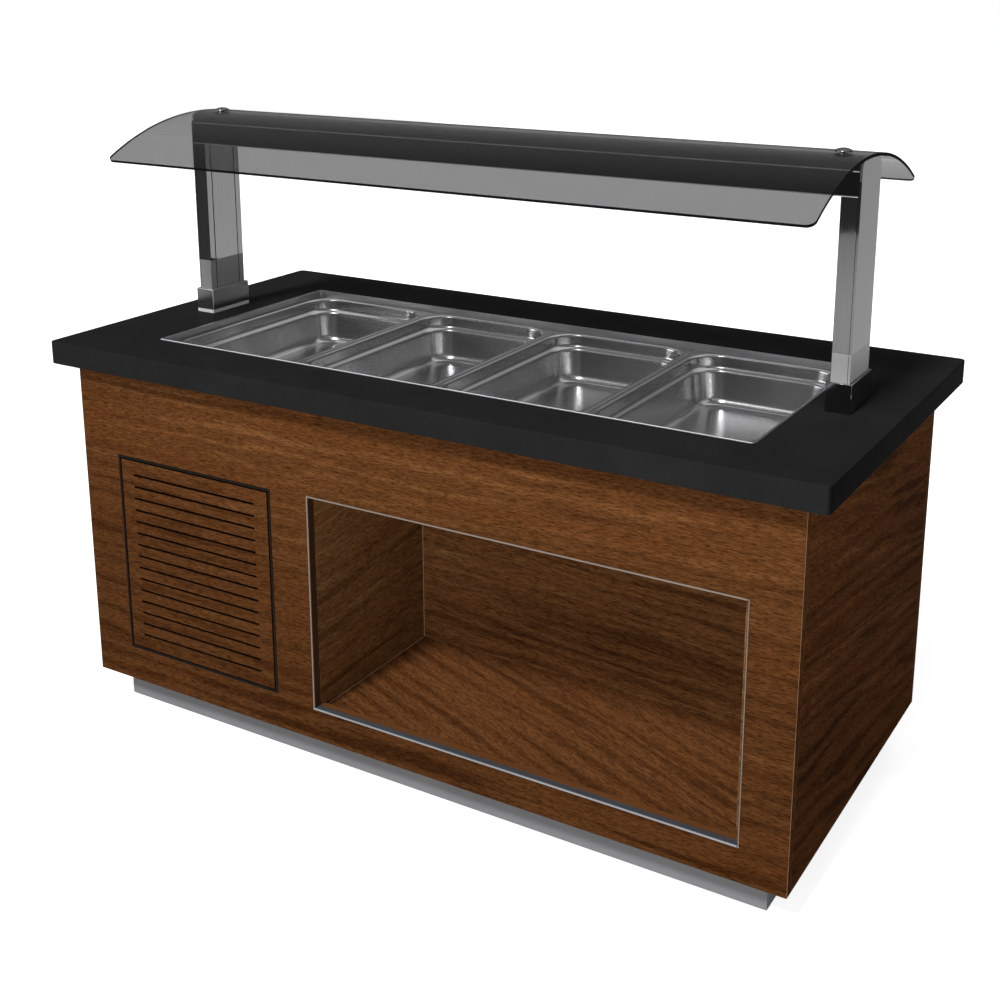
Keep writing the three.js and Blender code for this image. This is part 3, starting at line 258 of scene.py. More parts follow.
def grain_turn(along, normal, tilt):
    """The turn that lays the grain of a board with that outer normal onto X, tilted in the board's plane."""
    along, normal = Vector(along), Vector(normal)
    grain = Matrix.Rotation(math.radians(tilt), 3, normal) @ along
    across = normal.cross(grain)
    return Matrix((grain, across, normal)).to_euler("XYZ")


def walnut(name, along, normal, tilt=0.0, seed=0.0, painted_light_and_shade=(1, 1, 1), contrast=1.0, black_behind=None):
    """Laminate of one sheet, with painted light and shade by height and a tint of painted light and shade per
    board; black_behind is the Y from which its cut edges get a near-black painted shade.
    """

    def build(g):
        place = g.object_place()
        height = g.axis(place, "Z")
        turned = g.mapped(place, rotation=grain_turn(along, normal, tilt), location=(seed, seed * 2, 0))
        figure = g.stretched_noise(turned, FIGURE_SCALE, 4.0, 0.55, 0.9)
        phase = g.weighted(g.axis(turned, "Y"), RINGS_PER_METRE * 2 * math.pi, figure, RING_SWAY)
        rings = g.math("MULTIPLY_ADD", g.math("SINE", phase), 0.5, 0.5)
        streak = g.stretched_noise(turned, STREAK_SCALE, 5.0, 0.62, 0.4)
        fibre = g.stretched_noise(turned, FIBRE_SCALE, 3.0, 0.6)
        pore = g.stretched_noise(turned, PORE_SCALE, 2.0, 0.5)
        patch = g.stretched_noise(turned, PATCH_SCALE, 2.0, 0.5)
        blush = g.stretched_noise(turned, BLUSH_SCALE, 2.0, 0.5)

        tone = g.weighted(rings, RING_SHARE, streak, STREAK_SHARE)
        tone = g.math("ADD", tone, g.swing(patch, MIDDLE_TONE, PATCH_CONTRAST))
        # Painted light: the tone rises with height.
        tone = g.math("ADD", tone, g.swing(height, MIDDLE_HEIGHT, PAINTED_LIGHT_PER_METRE))
        tone = g.math("MULTIPLY_ADD", g.math("SUBTRACT", tone, MIDDLE_TONE), contrast, MIDDLE_TONE)
        colour = g.mix(g.ramp(blush, [(0.5, 0.0), (0.68, 0.5)]), g.ramp(tone, WALNUT_TONES), WALNUT_RED)

        fibres = g.ramp(fibre, FIBRE_BRIGHTNESS)
        pores = g.ramp(pore, PORE_BRIGHTNESS)
        colour = g.mix(1.0, colour, fibres, "MULTIPLY")
        colour = g.mix(PORE_SHARE, colour, pores, "MULTIPLY")
        # Painted light and shade by height.
        colour = g.mix(1.0, colour, g.ramp(height, PAINTED_LIGHT_BY_HEIGHT), "MULTIPLY")
        # Painted light and shade per board: a tint that lightens or darkens the whole sheet.
        colour = g.mix(1.0, colour, painted_light_and_shade, "MULTIPLY")
        # Painted shade deep in the slots.
        if black_behind is not None:
            painted_slot_shade = g.math("GREATER_THAN", g.axis(place, "Y"), black_behind)
            colour = g.mix(painted_slot_shade, colour, SLOT_PAINTED_SHADE)
        return {
            "Base Color": colour,
            "Roughness": g.ramp(fibre, [(0.2, 0.50), (0.8, 0.62)]),
            "Specular IOR Level": LAMINATE_SPECULAR,
            "Normal": g.bump(g.weighted(pores, 0.7, fibres, 0.3), 0.14 * MM, 0.5),
        }

    return material(name, build)


def laminate_edge():
    """Worn dark edges, with a thin pale line where two sheets meet at a corner of the cabinet, partly their
    edging and partly a painted highlight.
    """

    def build(g):
        place = g.object_place()
        wear = g.noise(place, 60.0, 3.0, 0.6)
        outer = g.math("GREATER_THAN", g.math("ABSOLUTE", g.axis(place, "Y")), OUTER_EDGE_DEPTH)
        corner = g.math("GREATER_THAN", g.math("ABSOLUTE", g.axis(place, "X")), OUTER_EDGE_REACH)
        worn = g.between(wear, WALNUT_DARK, WALNUT_BASE)
        # Pale corner line, partly a painted highlight.
        pale = g.between(wear, *PALE_SEAM_HIGHLIGHT)
        return {
            "Base Color": g.mix(g.math("MULTIPLY", outer, corner), worn, pale),
            "Roughness": g.between(wear, 0.42, 0.58),
            "Specular IOR Level": 0.1,
        }

    return material("laminate_edge", build)


# ---------- Stone, metal, glass, paint and plastic ----------

STONE_BODY = ((0.0140, 0.0141, 0.0143), (0.0185, 0.0187, 0.0190))
STONE_GRIT = (0.020, 0.0205, 0.021)
STONE_FLAKE = (0.035, 0.036, 0.037)
# Painted shade on the worktop's end faces.
STONE_END_PAINTED_SHADE = [(0.5, 1.0), (0.9, 0.40)]  # the end faces, which point along X, are darker
STONE_SPECULAR = 0.0006


def granite():
    def build(g):
        place = g.object_place()
        cloud = g.noise(place, 7.0, 4.0, 0.6, 0.5)
        grit = g.noise(place, 520.0, 3.0, 0.7)
        flakes = g.ramp(g.cells(place, 260.0)["Distance"], [(0.0, 1.0), (0.13, 0.0)])
        body = g.between(cloud, *STONE_BODY)
        body = g.mix(g.ramp(grit, [(0.55, 0.0), (0.75, 0.5)]), body, STONE_GRIT)
        body = g.mix(g.math("MULTIPLY", flakes, 0.35), body, STONE_FLAKE)
        # Painted shade: darker where the surface points along X.
        outward = g.node("ShaderNodeNewGeometry").outputs["Normal"]
        endways = g.math("ABSOLUTE", g.axis(outward, "X"))
        return {
            "Base Color": g.mix(1.0, body, g.ramp(endways, STONE_END_PAINTED_SHADE), "MULTIPLY"),
            "Roughness": g.between(cloud, 0.10, 0.16),
            "Specular IOR Level": STONE_SPECULAR,
        }

    return material("black_granite", build)


def brushed(name, tint, roughness, along=RIGHTWARD, spread=0.08, scratches=0.10, streak=900.0, relief=0.5):
    """Metal with fine parallel scratches along one axis."""

    def build(g):
        place = g.object_place()
        lines = g.stretched_noise(place, [6.0 if axis else streak for axis in along], 3.0, 0.6)
        cloud = g.noise(place, 9.0, 3.0, 0.5)
        mixed = g.weighted(lines, 0.7, cloud, 0.3)
        return {
            "Base Color": g.between(mixed, scaled(tint, 1 - scratches), scaled(tint, 1 + scratches)),
            "Metallic": 1.0,
            "Roughness": g.between(mixed, roughness - spread / 2, roughness + spread / 2),
            "Normal": g.bump(lines, 0.02 * MM, relief),
        }

    return material(name, build)


# Tops of the foot bands: the posts' are partly satin and partly a painted reflection, and the left collar's
# light band is a painted highlight.
POST_FOOT_REFLECTION_TOP = {"left": 0.942, "right": 0.928}
COLLAR_HIGHLIGHT_TOP = 0.8305
BAND_DULLNESS = 0.85  # share of the metallic look that the foot band lacks: partly a satin finish, partly so that its painted reflection shows
BAND_ROUGHNESS = 0.3


def polished(name, tint, foot, foot_top, roughness=0.0):
    """Mirror-polished steel with a band at its foot, of the given whiteness, up to a height; the band is
    partly a satin finish and partly a painted reflection.
    """

    def build(g):
        place = g.object_place()
        lines = g.stretched_noise(place, (420.0, 420.0, 6.0), 3.0, 0.6)
        band = g.math("LESS_THAN", g.axis(place, "Z"), foot_top)
        mirror = g.between(lines, scaled(tint, 0.95), scaled(tint, 1.05))
        # The foot band's whiteness: partly satin, partly a painted reflection.
        matt = g.between(lines, foot * 0.95, foot * 1.05)
        fine = g.math("MULTIPLY_ADD", lines, 0.08, roughness)
        return {
            "Base Color": g.mix(band, mirror, matt),
            "Metallic": g.math("SUBTRACT", 1.0, g.math("MULTIPLY", band, BAND_DULLNESS)),
            "Roughness": g.math("ADD", fine, g.math("MULTIPLY", band, BAND_ROUGHNESS)),
        }

    return material(name, build)


def satin(name, tint, roughness, metallic):
    """Light satin metal, used as a painted highlight on thin edges and strips."""

    def build(g):
        lines = g.stretched_noise(g.object_place(), (500.0, 500.0, 8.0), 3.0, 0.6)
        return {
            "Base Color": g.between(lines, scaled(tint, 0.9), scaled(tint, 1.1)),
            "Metallic": metallic,
            "Roughness": g.between(lines, roughness - 0.05, roughness + 0.05),
            "Specular IOR Level": 0.3,
        }

    return material(name, build)


NICHE_SILL_TOP = 0.1415
SILL_METAL_BACK = -0.3695  # behind this the laminate laps over the sill
EDGING_FACE_BACK = (-0.3835, -0.3815)  # where the edging's bright face fades into its inner leaf
RIGHT_EDGING = 0.7035  # where the right edging starts
EDGING_RIM = 1.7 * MM  # its bright outer rim
# Two tones of each part of the edging.
SILL_FACE = ((0.30, 0.31, 0.33), (0.42, 0.43, 0.45))
SIDE_FACE = ((0.22, 0.170, 0.140), (0.30, 0.235, 0.195))
# Painted shade on the right edging's face, all but its rim.
RIGHT_FACE_PAINTED_SHADE = ((0.046, 0.033, 0.025), (0.062, 0.045, 0.034))
SILL_SLATE = ((0.060, 0.067, 0.080), (0.095, 0.104, 0.120))
SILL_OVERLAY = ((0.150, 0.058, 0.019), (0.215, 0.084, 0.028))
INNER_LEAF = ((0.050, 0.024, 0.011), (0.085, 0.042, 0.020))


def edging():
    """Anodised edging, darker where it turns in behind the board's face, bluer there on the sill, and with
    painted shade on the right edging's face.
    """

    def build(g):
        place = g.object_place()
        x, y, z = [g.axis(place, name) for name in "XYZ"]
        along = g.stretched_noise(place, (5.0, 600.0, 600.0), 3.0, 0.6)
        upper = g.math("GREATER_THAN", z, NICHE_SILL_TOP)

        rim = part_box("niche_trim")[1].x - EDGING_RIM
        # Painted shade on the right edging, all but its bright rim.
        shaded = g.math("MULTIPLY", g.math("GREATER_THAN", x, RIGHT_EDGING), g.math("LESS_THAN", x, rim))
        face = g.mix(upper, g.between(along, *SILL_FACE), g.between(along, *SIDE_FACE))
        face = g.mix(shaded, face, g.between(along, *RIGHT_FACE_PAINTED_SHADE))

        lapped = g.math("GREATER_THAN", y, SILL_METAL_BACK)
        sill_top = g.mix(lapped, g.between(along, *SILL_SLATE), g.between(along, *SILL_OVERLAY))
        leaf = g.mix(upper, sill_top, g.between(along, *INNER_LEAF))
        return {
            "Base Color": g.mix(g.rescaled(y, *EDGING_FACE_BACK), face, leaf),
            "Metallic": 0.35,
            "Roughness": g.between(along, 0.30, 0.42),
            "Specular IOR Level": 0.3,
        }

    return material("anodised_edging", build)


def speckled_metal(name, tint, roughness):
    """Zinc or bare aluminium: soft spangles of slightly different tone."""

    def build(g):
        place = g.object_place()
        spangle = g.node("ShaderNodeSeparateColor", {"Color": g.cells(place, 120.0)["Color"]}).outputs["Red"]
        grain = g.noise(place, 260.0, 3.0, 0.6)
        mixed = g.weighted(spangle, 0.5, grain, 0.5)
        return {
            "Base Color": g.ramp(mixed, [(0.2, scaled(tint, 0.8)), (0.8, tint)]),
            "Metallic": 0.9,
            "Roughness": g.ramp(mixed, [(0.2, roughness - 0.08), (0.8, roughness + 0.08)]),
            "Normal": g.bump(grain, 0.04 * MM, 0.5),
        }

    return material(name, build)


def painted(name, tint, roughness, specular=0.4, peel=0.06 * MM):
    """Sprayed paint with a faint orange peel and slightly uneven sheen."""

    def build(g):
        place = g.object_place()
        fine = g.noise(place, 420.0, 2.0, 0.5)
        broad = g.noise(place, 5.0, 3.0, 0.5)
        return {
            "Base Color": g.between(broad, scaled(tint, 0.93), scaled(tint, 1.06)),
            "Roughness": g.between(broad, roughness - 0.04, roughness + 0.04),
            "Specular IOR Level": specular,
            "Normal": g.bump(fine, peel, 0.6),
        }

    return material(name, build)


def moulded(name, tint, roughness, grain=700.0, depth=0.05 * MM):
    """Moulded plastic or rubber with a fine texture."""

    def build(g):
        place = g.object_place()
        fine = g.noise(place, grain, 2.0, 0.6)
        broad = g.noise(place, 30.0, 3.0, 0.5)
        return {
            "Base Color": g.between(broad, scaled(tint, 0.88), scaled(tint, 1.1)),
            "Roughness": g.between(broad, roughness - 0.05, roughness + 0.05),
            "Normal": g.bump(fine, depth, 0.8),
        }

    return material(name, build)


def foam():
    def build(g):
        place = g.object_place()
        broad = g.noise(place, 12.0, 4.0, 0.6)
        return {
            "Base Color": g.between(broad, (0.52, 0.44, 0.27), (0.66, 0.58, 0.38)),
            "Roughness": g.between(broad, 0.82, 0.94),
            "Normal": g.bump(g.cells(place, 480.0)["Distance"], 0.8 * MM, 0.8),
        }

    return material("insulation_foam", build)


GLASS_TINT = (0.243, 0.244, 0.246)
GLASS_IOR = 1.10
GLASS_SHADOW = 0.55
GLASS_EDGE_SPECULAR = 0.001


def smoked_glass():
    """Tinted glass that lets lamps through, so that it throws a light shadow."""
    made, g = empty_material("smoked_glass")
    smear = g.noise(g.object_place(), 3.0, 4.0, 0.6, 0.3)
    inputs = {
        "Base Color": rgba(GLASS_TINT),
        "Roughness": g.ramp(smear, [(0.35, 0.0), (0.75, 0.004)]),
        "IOR": GLASS_IOR,
        "Transmission Weight": 1.0,
    }
    glass = g.node("ShaderNodeBsdfPrincipled", inputs).outputs["BSDF"]
    clear = g.node("ShaderNodeBsdfTransparent", {"Color": grey(GLASS_SHADOW)}).outputs["BSDF"]
    shadow = g.node("ShaderNodeLightPath").outputs["Is Shadow Ray"]
    g.surface(g.mix_shaders(shadow, glass, clear))
    return made


# Painted shade: the glass's cut edges are near black, for the dark look that light gives them.
def glass_edge():
    def build(g):
        wave = g.noise(g.object_place(), 40.0, 3.0, 0.5)
        return {
            "Base Color": g.between(wave, (0.004, 0.005, 0.005), (0.010, 0.012, 0.012)),
            "Roughness": g.between(wave, 0.12, 0.25),
            "Specular IOR Level": GLASS_EDGE_SPECULAR,
        }

    return material("glass_edge", build)


# ---------- Mesh helpers ----------

SMOOTH_ANGLE = 32  # edges steeper than this stay sharp
WELD_DISTANCE = 0.01 * MM
CHAMFER_ANGLE = math.radians(50)


def new_piece(name, mesh, body, slot, *replaced):
    piece = bpy.data.objects.new(name, mesh)
    bpy.context.scene.collection.objects.link(piece)
    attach(piece, body)
    if replaced:
        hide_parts(*replaced)
    return piece


def shading_group(name, angle):
    """Geometry nodes that weld a faceted mesh and smooth it, with edges above the angle left sharp."""
    group = bpy.data.node_groups.new(name, "GeometryNodeTree")
    group.interface.new_socket("Geometry", in_out="INPUT", socket_type="NodeSocketGeometry")
    group.interface.new_socket("Geometry", in_out="OUTPUT", socket_type="NodeSocketGeometry")
    g = Graph(group)
    start = g.node("NodeGroupInput").outputs[0]
    bare = g.node("GeometryNodeRemoveAttribute", {"Geometry": start, "Name": "custom_normal"}).outputs[0]
    weld = {"Geometry": bare, "Distance": WELD_DISTANCE}
    welded = g.node("GeometryNodeMergeByDistance", weld).outputs[0]
    smooth = g.node("GeometryNodeSetShadeSmooth", {"Geometry": welded, "Shade Smooth": angle > 0}).outputs[0]
    steep = g.node("GeometryNodeInputMeshEdgeAngle").outputs["Unsigned Angle"]
    over = g.node("FunctionNodeCompare", {0: steep, 1: math.radians(angle)}, operation="GREATER_THAN")
    sharp = {"Geometry": smooth, "Selection": over.outputs[0], "Shade Smooth": False}
    shaded = g.node("GeometryNodeSetShadeSmooth", sharp, domain="EDGE").outputs[0]
    g.node("NodeGroupOutput", {0: shaded})
    return group


SMOOTH = shading_group("smooth_shading", SMOOTH_ANGLE)
WELDED = shading_group("welded_facets", 0)


def dress(name, finish, smooth=True, chamfer=0.0, edge=None):
    """Gives a CAD node its finish, its shading and, where asked, a fine chamfer with a finish of its own."""
    node = nodes[name]
    node.data.materials.clear()
    node.data.materials.append(finish)
    weld = node.modifiers.new("shading", "NODES")
    weld.node_group = SMOOTH if smooth else WELDED
    if chamfer:
        bevel = node.modifiers.new("edges", "BEVEL")
        bevel.width = chamfer
        bevel.segments = 1
        bevel.limit_method = "ANGLE"
        bevel.angle_limit = CHAMFER_ANGLE
        bevel.use_clamp_overlap = True
        if edge:
            node.data.materials.append(edge)
            bevel.material = 1
    if smooth:
        even = node.modifiers.new("flat_faces", "WEIGHTED_NORMAL")
        even.weight = 100
        even.keep_sharp = True


def sharpen(bm, angle):
    """Turns the faces outwards and keeps the edges above the angle sharp."""
    bmesh.ops.recalc_face_normals(bm, faces=bm.faces)
    for edge in bm.edges:
        edge.smooth = edge.calc_face_angle(0) < math.radians(angle)


def join_rings(bm, low, high, smooth=True):
    """Faces between two closed rings of vertices."""
    faces = []
    for i in range(len(low)):
        j = (i + 1) % len(low)
        face = bm.faces.new((low[i], low[j], high[j], high[i]))
        face.smooth = smooth
        faces.append(face)
    return faces


def into_mesh(bm, name, *finishes):
    mesh = bpy.data.meshes.new(name)
    bm.to_mesh(mesh)
    bm.free()
    for finish in finishes:
        mesh.materials.append(finish)
    return mesh


# ---------- Pans ----------

PAN_COUNT = 4
PAN_SHEET = 1.0 * MM
PAN_CORNER_STEPS = 14
PAN_SHARP_ANGLE = 60
# The visible side of the pressed sheet: inset from the rim's edge, depth below the rim and corner radius.
PAN_PROFILE = [
    (0.0, 4.0, 14.0),
    (0.0, 2.4, 14.0),
    (0.3, 1.3, 13.8),
    (1.1, 0.5, 13.2),
    (2.3, 0.1, 14.0),
    (3.4, 0.0, 20.0),
    (6.0, 0.0, 44.0),
    (7.6, 0.1, 57.0),
    (9.4, 0.5, 58.0),
    (10.9, 1.5, 57.6),
    (11.9, 3.2, 57.2),
    (12.4, 6.0, 57.0),
    (13.6, 20.0, 56.4),
    (14.0, 22.6, 56.2),
    (15.0, 25.2, 55.6),
    (17.0, 27.2, 54.6),
    (19.8, 28.6, 53.4),
    (21.6, 30.6, 52.8),
    (22.4, 33.6, 52.4),
    (23.0, 38.0, 52.0),
    (30.4, 81.0, 49.0),
    (31.6, 86.0, 48.2),
    (33.8, 90.6, 47.0),
    (37.0, 94.6, 45.6),
    (41.0, 97.3, 44.0),
    (46.0, 98.8, 42.0),
    (52.0, 99.0, 38.0),
    (120.0, 99.0, 10.0),
]


def pan_ring(half_x, half_y, corner):
    """A rounded rectangle, counter-clockwise from the start of its right front corner."""
    centres = [
        (half_x - corner, -half_y + corner),
        (half_x - corner, half_y - corner),
        (-half_x + corner, half_y - corner),
        (-half_x + corner, -half_y + corner),
    ]
    points = []
    for quarter, (cx, cy) in enumerate(centres):
        for step in range(PAN_CORNER_STEPS + 1):
            angle = (quarter - 1 + step / PAN_CORNER_STEPS) * math.pi / 2
            points.append((cx + corner * math.cos(angle), cy + corner * math.sin(angle)))
    return points


def pan_skin(name, rings, finish):
    """A smooth skin over rings of equal count, with the last ring filled."""
    bm = bmesh.new()
    rows = [[bm.verts.new(point) for point in ring] for ring in rings]
    for low, high in zip(rows, rows[1:]):
        join_rings(bm, low, high)
    bm.faces.new(rows[-1]).smooth = True
    sharpen(bm, PAN_SHARP_ANGLE)
    return into_mesh(bm, name, finish)


def make_pans(finish):
    low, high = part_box("food_pan_1")
    half_x, half_y = (high.x - low.x) / 2, (high.y - low.y) / 2
    rings = []
    for inset, depth, corner in PAN_PROFILE:
        ring = pan_ring(half_x - inset * MM, half_y - inset * MM, corner * MM)
        rings.append([(x, y, high.z - depth * MM) for x, y in ring])
    for number in range(1, PAN_COUNT + 1):
        low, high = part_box(f"food_pan_{number}")
        mesh = pan_skin(f"pan_skin_{number}", rings, finish)
        mesh.transform(Matrix.Translation(((low.x + high.x) / 2, (low.y + high.y) / 2, 0)))
        if mesh.polygons[-1].normal.z < 0:
            mesh.flip_normals()
        pan = new_piece(f"pressed_pan_{number}", mesh, f"pan_{number}", "pan_steel", f"food_pan_{number}")
        sheet = pan.modifiers.new("sheet", "SOLIDIFY")
        sheet.thickness = PAN_SHEET
        sheet.offset = -1


# ---------- Glass guard and knobs ----------

GLASS_ROWS = 72
GLASS_COLUMNS = 16
GLASS_CORNER_ROWS = 7
GLASS_CORNER = 15 * MM
GLASS_THICKNESS = 6 * MM
GLASS_HALF_ANGLE = math.radians(30)
TURNED_SHARP_ANGLE = 40


def glass_stations(arc):
    """Places of the glass's rows along its arc, closer together round the corners."""
    turns = [math.pi / 2 * i / GLASS_CORNER_ROWS for i in range(GLASS_CORNER_ROWS)]
    near = [GLASS_CORNER * (1 - math.cos(turn)) for turn in turns]
    inner = arc - 2 * GLASS_CORNER
    between = [GLASS_CORNER + inner * i / GLASS_ROWS for i in range(GLASS_ROWS + 1)]
    return near + between + [arc - s for s in reversed(near)]


def glass_inset(to_edge):
    """How far a row draws in at its ends, by its distance from the nearest long edge."""
    if to_edge >= GLASS_CORNER:
        return 0.0
    return GLASS_CORNER - math.sqrt(GLASS_CORNER**2 - (GLASS_CORNER - to_edge) ** 2)


def outline(rows):
    """The border of a grid of vertices, as a closed ring."""
    left = [row[0] for row in rows]
    right = [row[-1] for row in rows]
    return rows[0][1:-1] + right + rows[-1][-2:0:-1] + left[::-1]


def make_glass(surface, edge):
    low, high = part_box("glass_guard")
    middle = (low.y + high.y) / 2
    radius = (high.y - low.y) / 2 / math.sin(GLASS_HALF_ANGLE)
    centre = high.z - radius
    arc = 2 * radius * GLASS_HALF_ANGLE
    bm = bmesh.new()

    def side(r):
        rows = []
        for s in glass_stations(arc):
            angle = s / radius - GLASS_HALF_ANGLE
            half = high.x - glass_inset(min(s, arc - s))
            y, z = middle + r * math.sin(angle), centre + r * math.cos(angle)
            places = [-half + 2 * half * i / GLASS_COLUMNS for i in range(GLASS_COLUMNS + 1)]
            rows.append([bm.verts.new((x, y, z)) for x in places])
        return rows

    outer, under = side(radius), side(radius - GLASS_THICKNESS)
    for rows, turned in ((outer, False), (under, True)):
        for a, b in zip(rows, rows[1:]):
            for i in range(GLASS_COLUMNS):
                quad = (a[i], a[i + 1], b[i + 1], b[i])
                face = bm.faces.new(quad[::-1] if turned else quad)
                face.smooth = True
    for face in join_rings(bm, outline(under), outline(outer), smooth=False):
        face.material_index = 1
    sharpen(bm, TURNED_SHARP_ANGLE)
    mesh = into_mesh(bm, "curved_glass", surface, edge)
    new_piece("curved_glass", mesh, "root", "guard_glass", "glass_guard")


KNOB_SEGMENTS = 48
KNOB_SHANK = 3 * MM
KNOB_SEAT = 0.3 * MM  # its underside, above the glass
KNOB_UNDERSIDE = 0.93  # share of its radius
KNOB_RIM = 0.9 * MM  # its widest ring, above the glass
KNOB_TIP = 0.4 * MM
DOME_STEPS = 10


def lathe(name, profile, centre, finish):
    """A turned piece about the upright axis through centre; profile is (radius, height)."""
    turns = [2 * math.pi * i / KNOB_SEGMENTS for i in range(KNOB_SEGMENTS)]
    bm = bmesh.new()
    rows = []
    for radius, height in profile:
        z = centre.z + height
        ring = [(centre.x + radius * math.cos(a), centre.y + radius * math.sin(a), z) for a in turns]
        rows.append([bm.verts.new(point) for point in ring])
    for low, high in zip(rows, rows[1:]):
        join_rings(bm, low, high)
    bm.faces.new(rows[0][::-1])
    bm.faces.new(rows[-1])
    sharpen(bm, TURNED_SHARP_ANGLE)
    return into_mesh(bm, name, finish)


def make_knobs(chrome):
    for side in ("left", "right"):
        low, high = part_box(f"glass_knob_{side}")
        radius = (high.x - low.x) / 2
        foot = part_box("glass_guard")[1].z
        middle = Vector(((low.x + high.x) / 2, (low.y + high.y) / 2, 0))
        rise = high.z - foot
        turns = [math.pi / 2 * i / DOME_STEPS for i in range(DOME_STEPS + 1)]
        dome = [(radius * math.cos(a), foot + KNOB_RIM + (rise - KNOB_RIM) * math.sin(a)) for a in turns]
        dome[-1] = (KNOB_TIP, dome[-1][1])
        seat = foot + KNOB_SEAT
        shank = [(KNOB_SHANK, low.z), (KNOB_SHANK, seat), (radius * KNOB_UNDERSIDE, seat)]
        knob = lathe(f"domed_knob_{side}", shank + dome, middle, chrome)
        new_piece(f"domed_knob_{side}", knob, "root", "post_chrome", f"glass_knob_{side}")


# ---------- Thin trim and sealant ----------

CREASE_HEIGHT = 44 * MM  # above the beam's underside
BEAM_STRIP_HALF_WIDTH = 0.8 * MM
BEAM_STRIP_SUNK = 0.1 * MM
BEAM_STRIP_PROUD = 0.5 * MM
BEAM_STRIP_END_GAP = 1 * MM
LIP_END_GAP = 4 * MM
LIP_FRONT = 0.3 * MM  # from the tank's front edge
LIP_BACK = 3.6 * MM
LIP_SUNK = 0.2 * MM
LIP_PROUD = 0.6 * MM
BEAD_WIDTH = 1.6 * MM
BEAD_START = 12 * MM  # from the niche floor's front edge
BEAD_CHAMFER = 0.6 * MM


def strip(name, low, high, finish, slot, chamfer=0.3 * MM):
    """A thin straight strip between two corners, with its edges broken."""
    bm = bmesh.new()
    bmesh.ops.create_cube(bm, size=1)
    size = [b - a for a, b in zip(low, high)]
    middle = [(a + b) / 2 for a, b in zip(low, high)]
    bmesh.ops.scale(bm, vec=size, verts=bm.verts)
    bmesh.ops.translate(bm, vec=middle, verts=bm.verts)
    width = min(chamfer, min(size) * 0.3)
    bmesh.ops.bevel(bm, geom=bm.edges[:], offset=width, segments=2, affect="EDGES")
    new_piece(name, into_mesh(bm, name, finish), "root", slot)


def make_beam_strips(bright):
    """The bright lines along the lamp beam, on its crease and at its foot: thin strips whose brightness is a
    painted highlight.
    """
    low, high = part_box("lamp_beam")
    left, right = low.x + BEAM_STRIP_END_GAP, high.x - BEAM_STRIP_END_GAP
    crease = low.z + CREASE_HEIGHT
    heights = {
        "crease": (crease - BEAM_STRIP_HALF_WIDTH, crease + BEAM_STRIP_HALF_WIDTH),
        "foot": (low.z, low.z + 2 * BEAM_STRIP_HALF_WIDTH),
    }
    for side, sign in (("front", -1), ("back", 1)):
        face = sign * abs(low.y)
        y0, y1 = sorted((face - sign * BEAM_STRIP_SUNK, face + sign * BEAM_STRIP_PROUD))
        for line, (z0, z1) in heights.items():
            strip(f"beam_{line}_{side}", (left, y0, z0), (right, y1, z1), bright, "post_chrome")


def make_well_lip(bright):
    """The well's lip towards the guests, polished, its brightness partly a painted highlight."""
    low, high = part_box("well_tank")
    start = (low.x + LIP_END_GAP, low.y + LIP_FRONT, high.z - LIP_SUNK)
    end = (high.x - LIP_END_GAP, low.y + LIP_BACK, high.z + LIP_PROUD)
    strip("well_lip_front", start, end, bright, "stainless")


def make_sealant(bead):
    """Sealant where the niche's boards meet at its left."""
    floor_low, floor_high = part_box("niche_floor")
    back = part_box("niche_back")[0].y
    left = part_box("niche_left_side")[1].x
    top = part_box("niche_top")[0].z
    front = floor_low.y + BEAD_START
    right = left + BEAD_WIDTH
    base, crown = floor_high.z, floor_high.z + BEAD_WIDTH
    strip("bead_floor_left", (left, front, base), (right, back, crown), bead, "trim", BEAD_CHAMFER)
    strip("bead_back_left", (left, back - BEAD_WIDTH, crown), (right, back, top), bead, "trim", BEAD_CHAMFER)


# ---------- Dressing the nodes ----------

PANEL_CHAMFER = 1.0 * MM
LINING_CHAMFER = 0.6 * MM
POST_CHAMFER = 0.6 * MM
SLOT_SHADE_DEPTH = 1.2 * MM  # behind the ventilation door's face


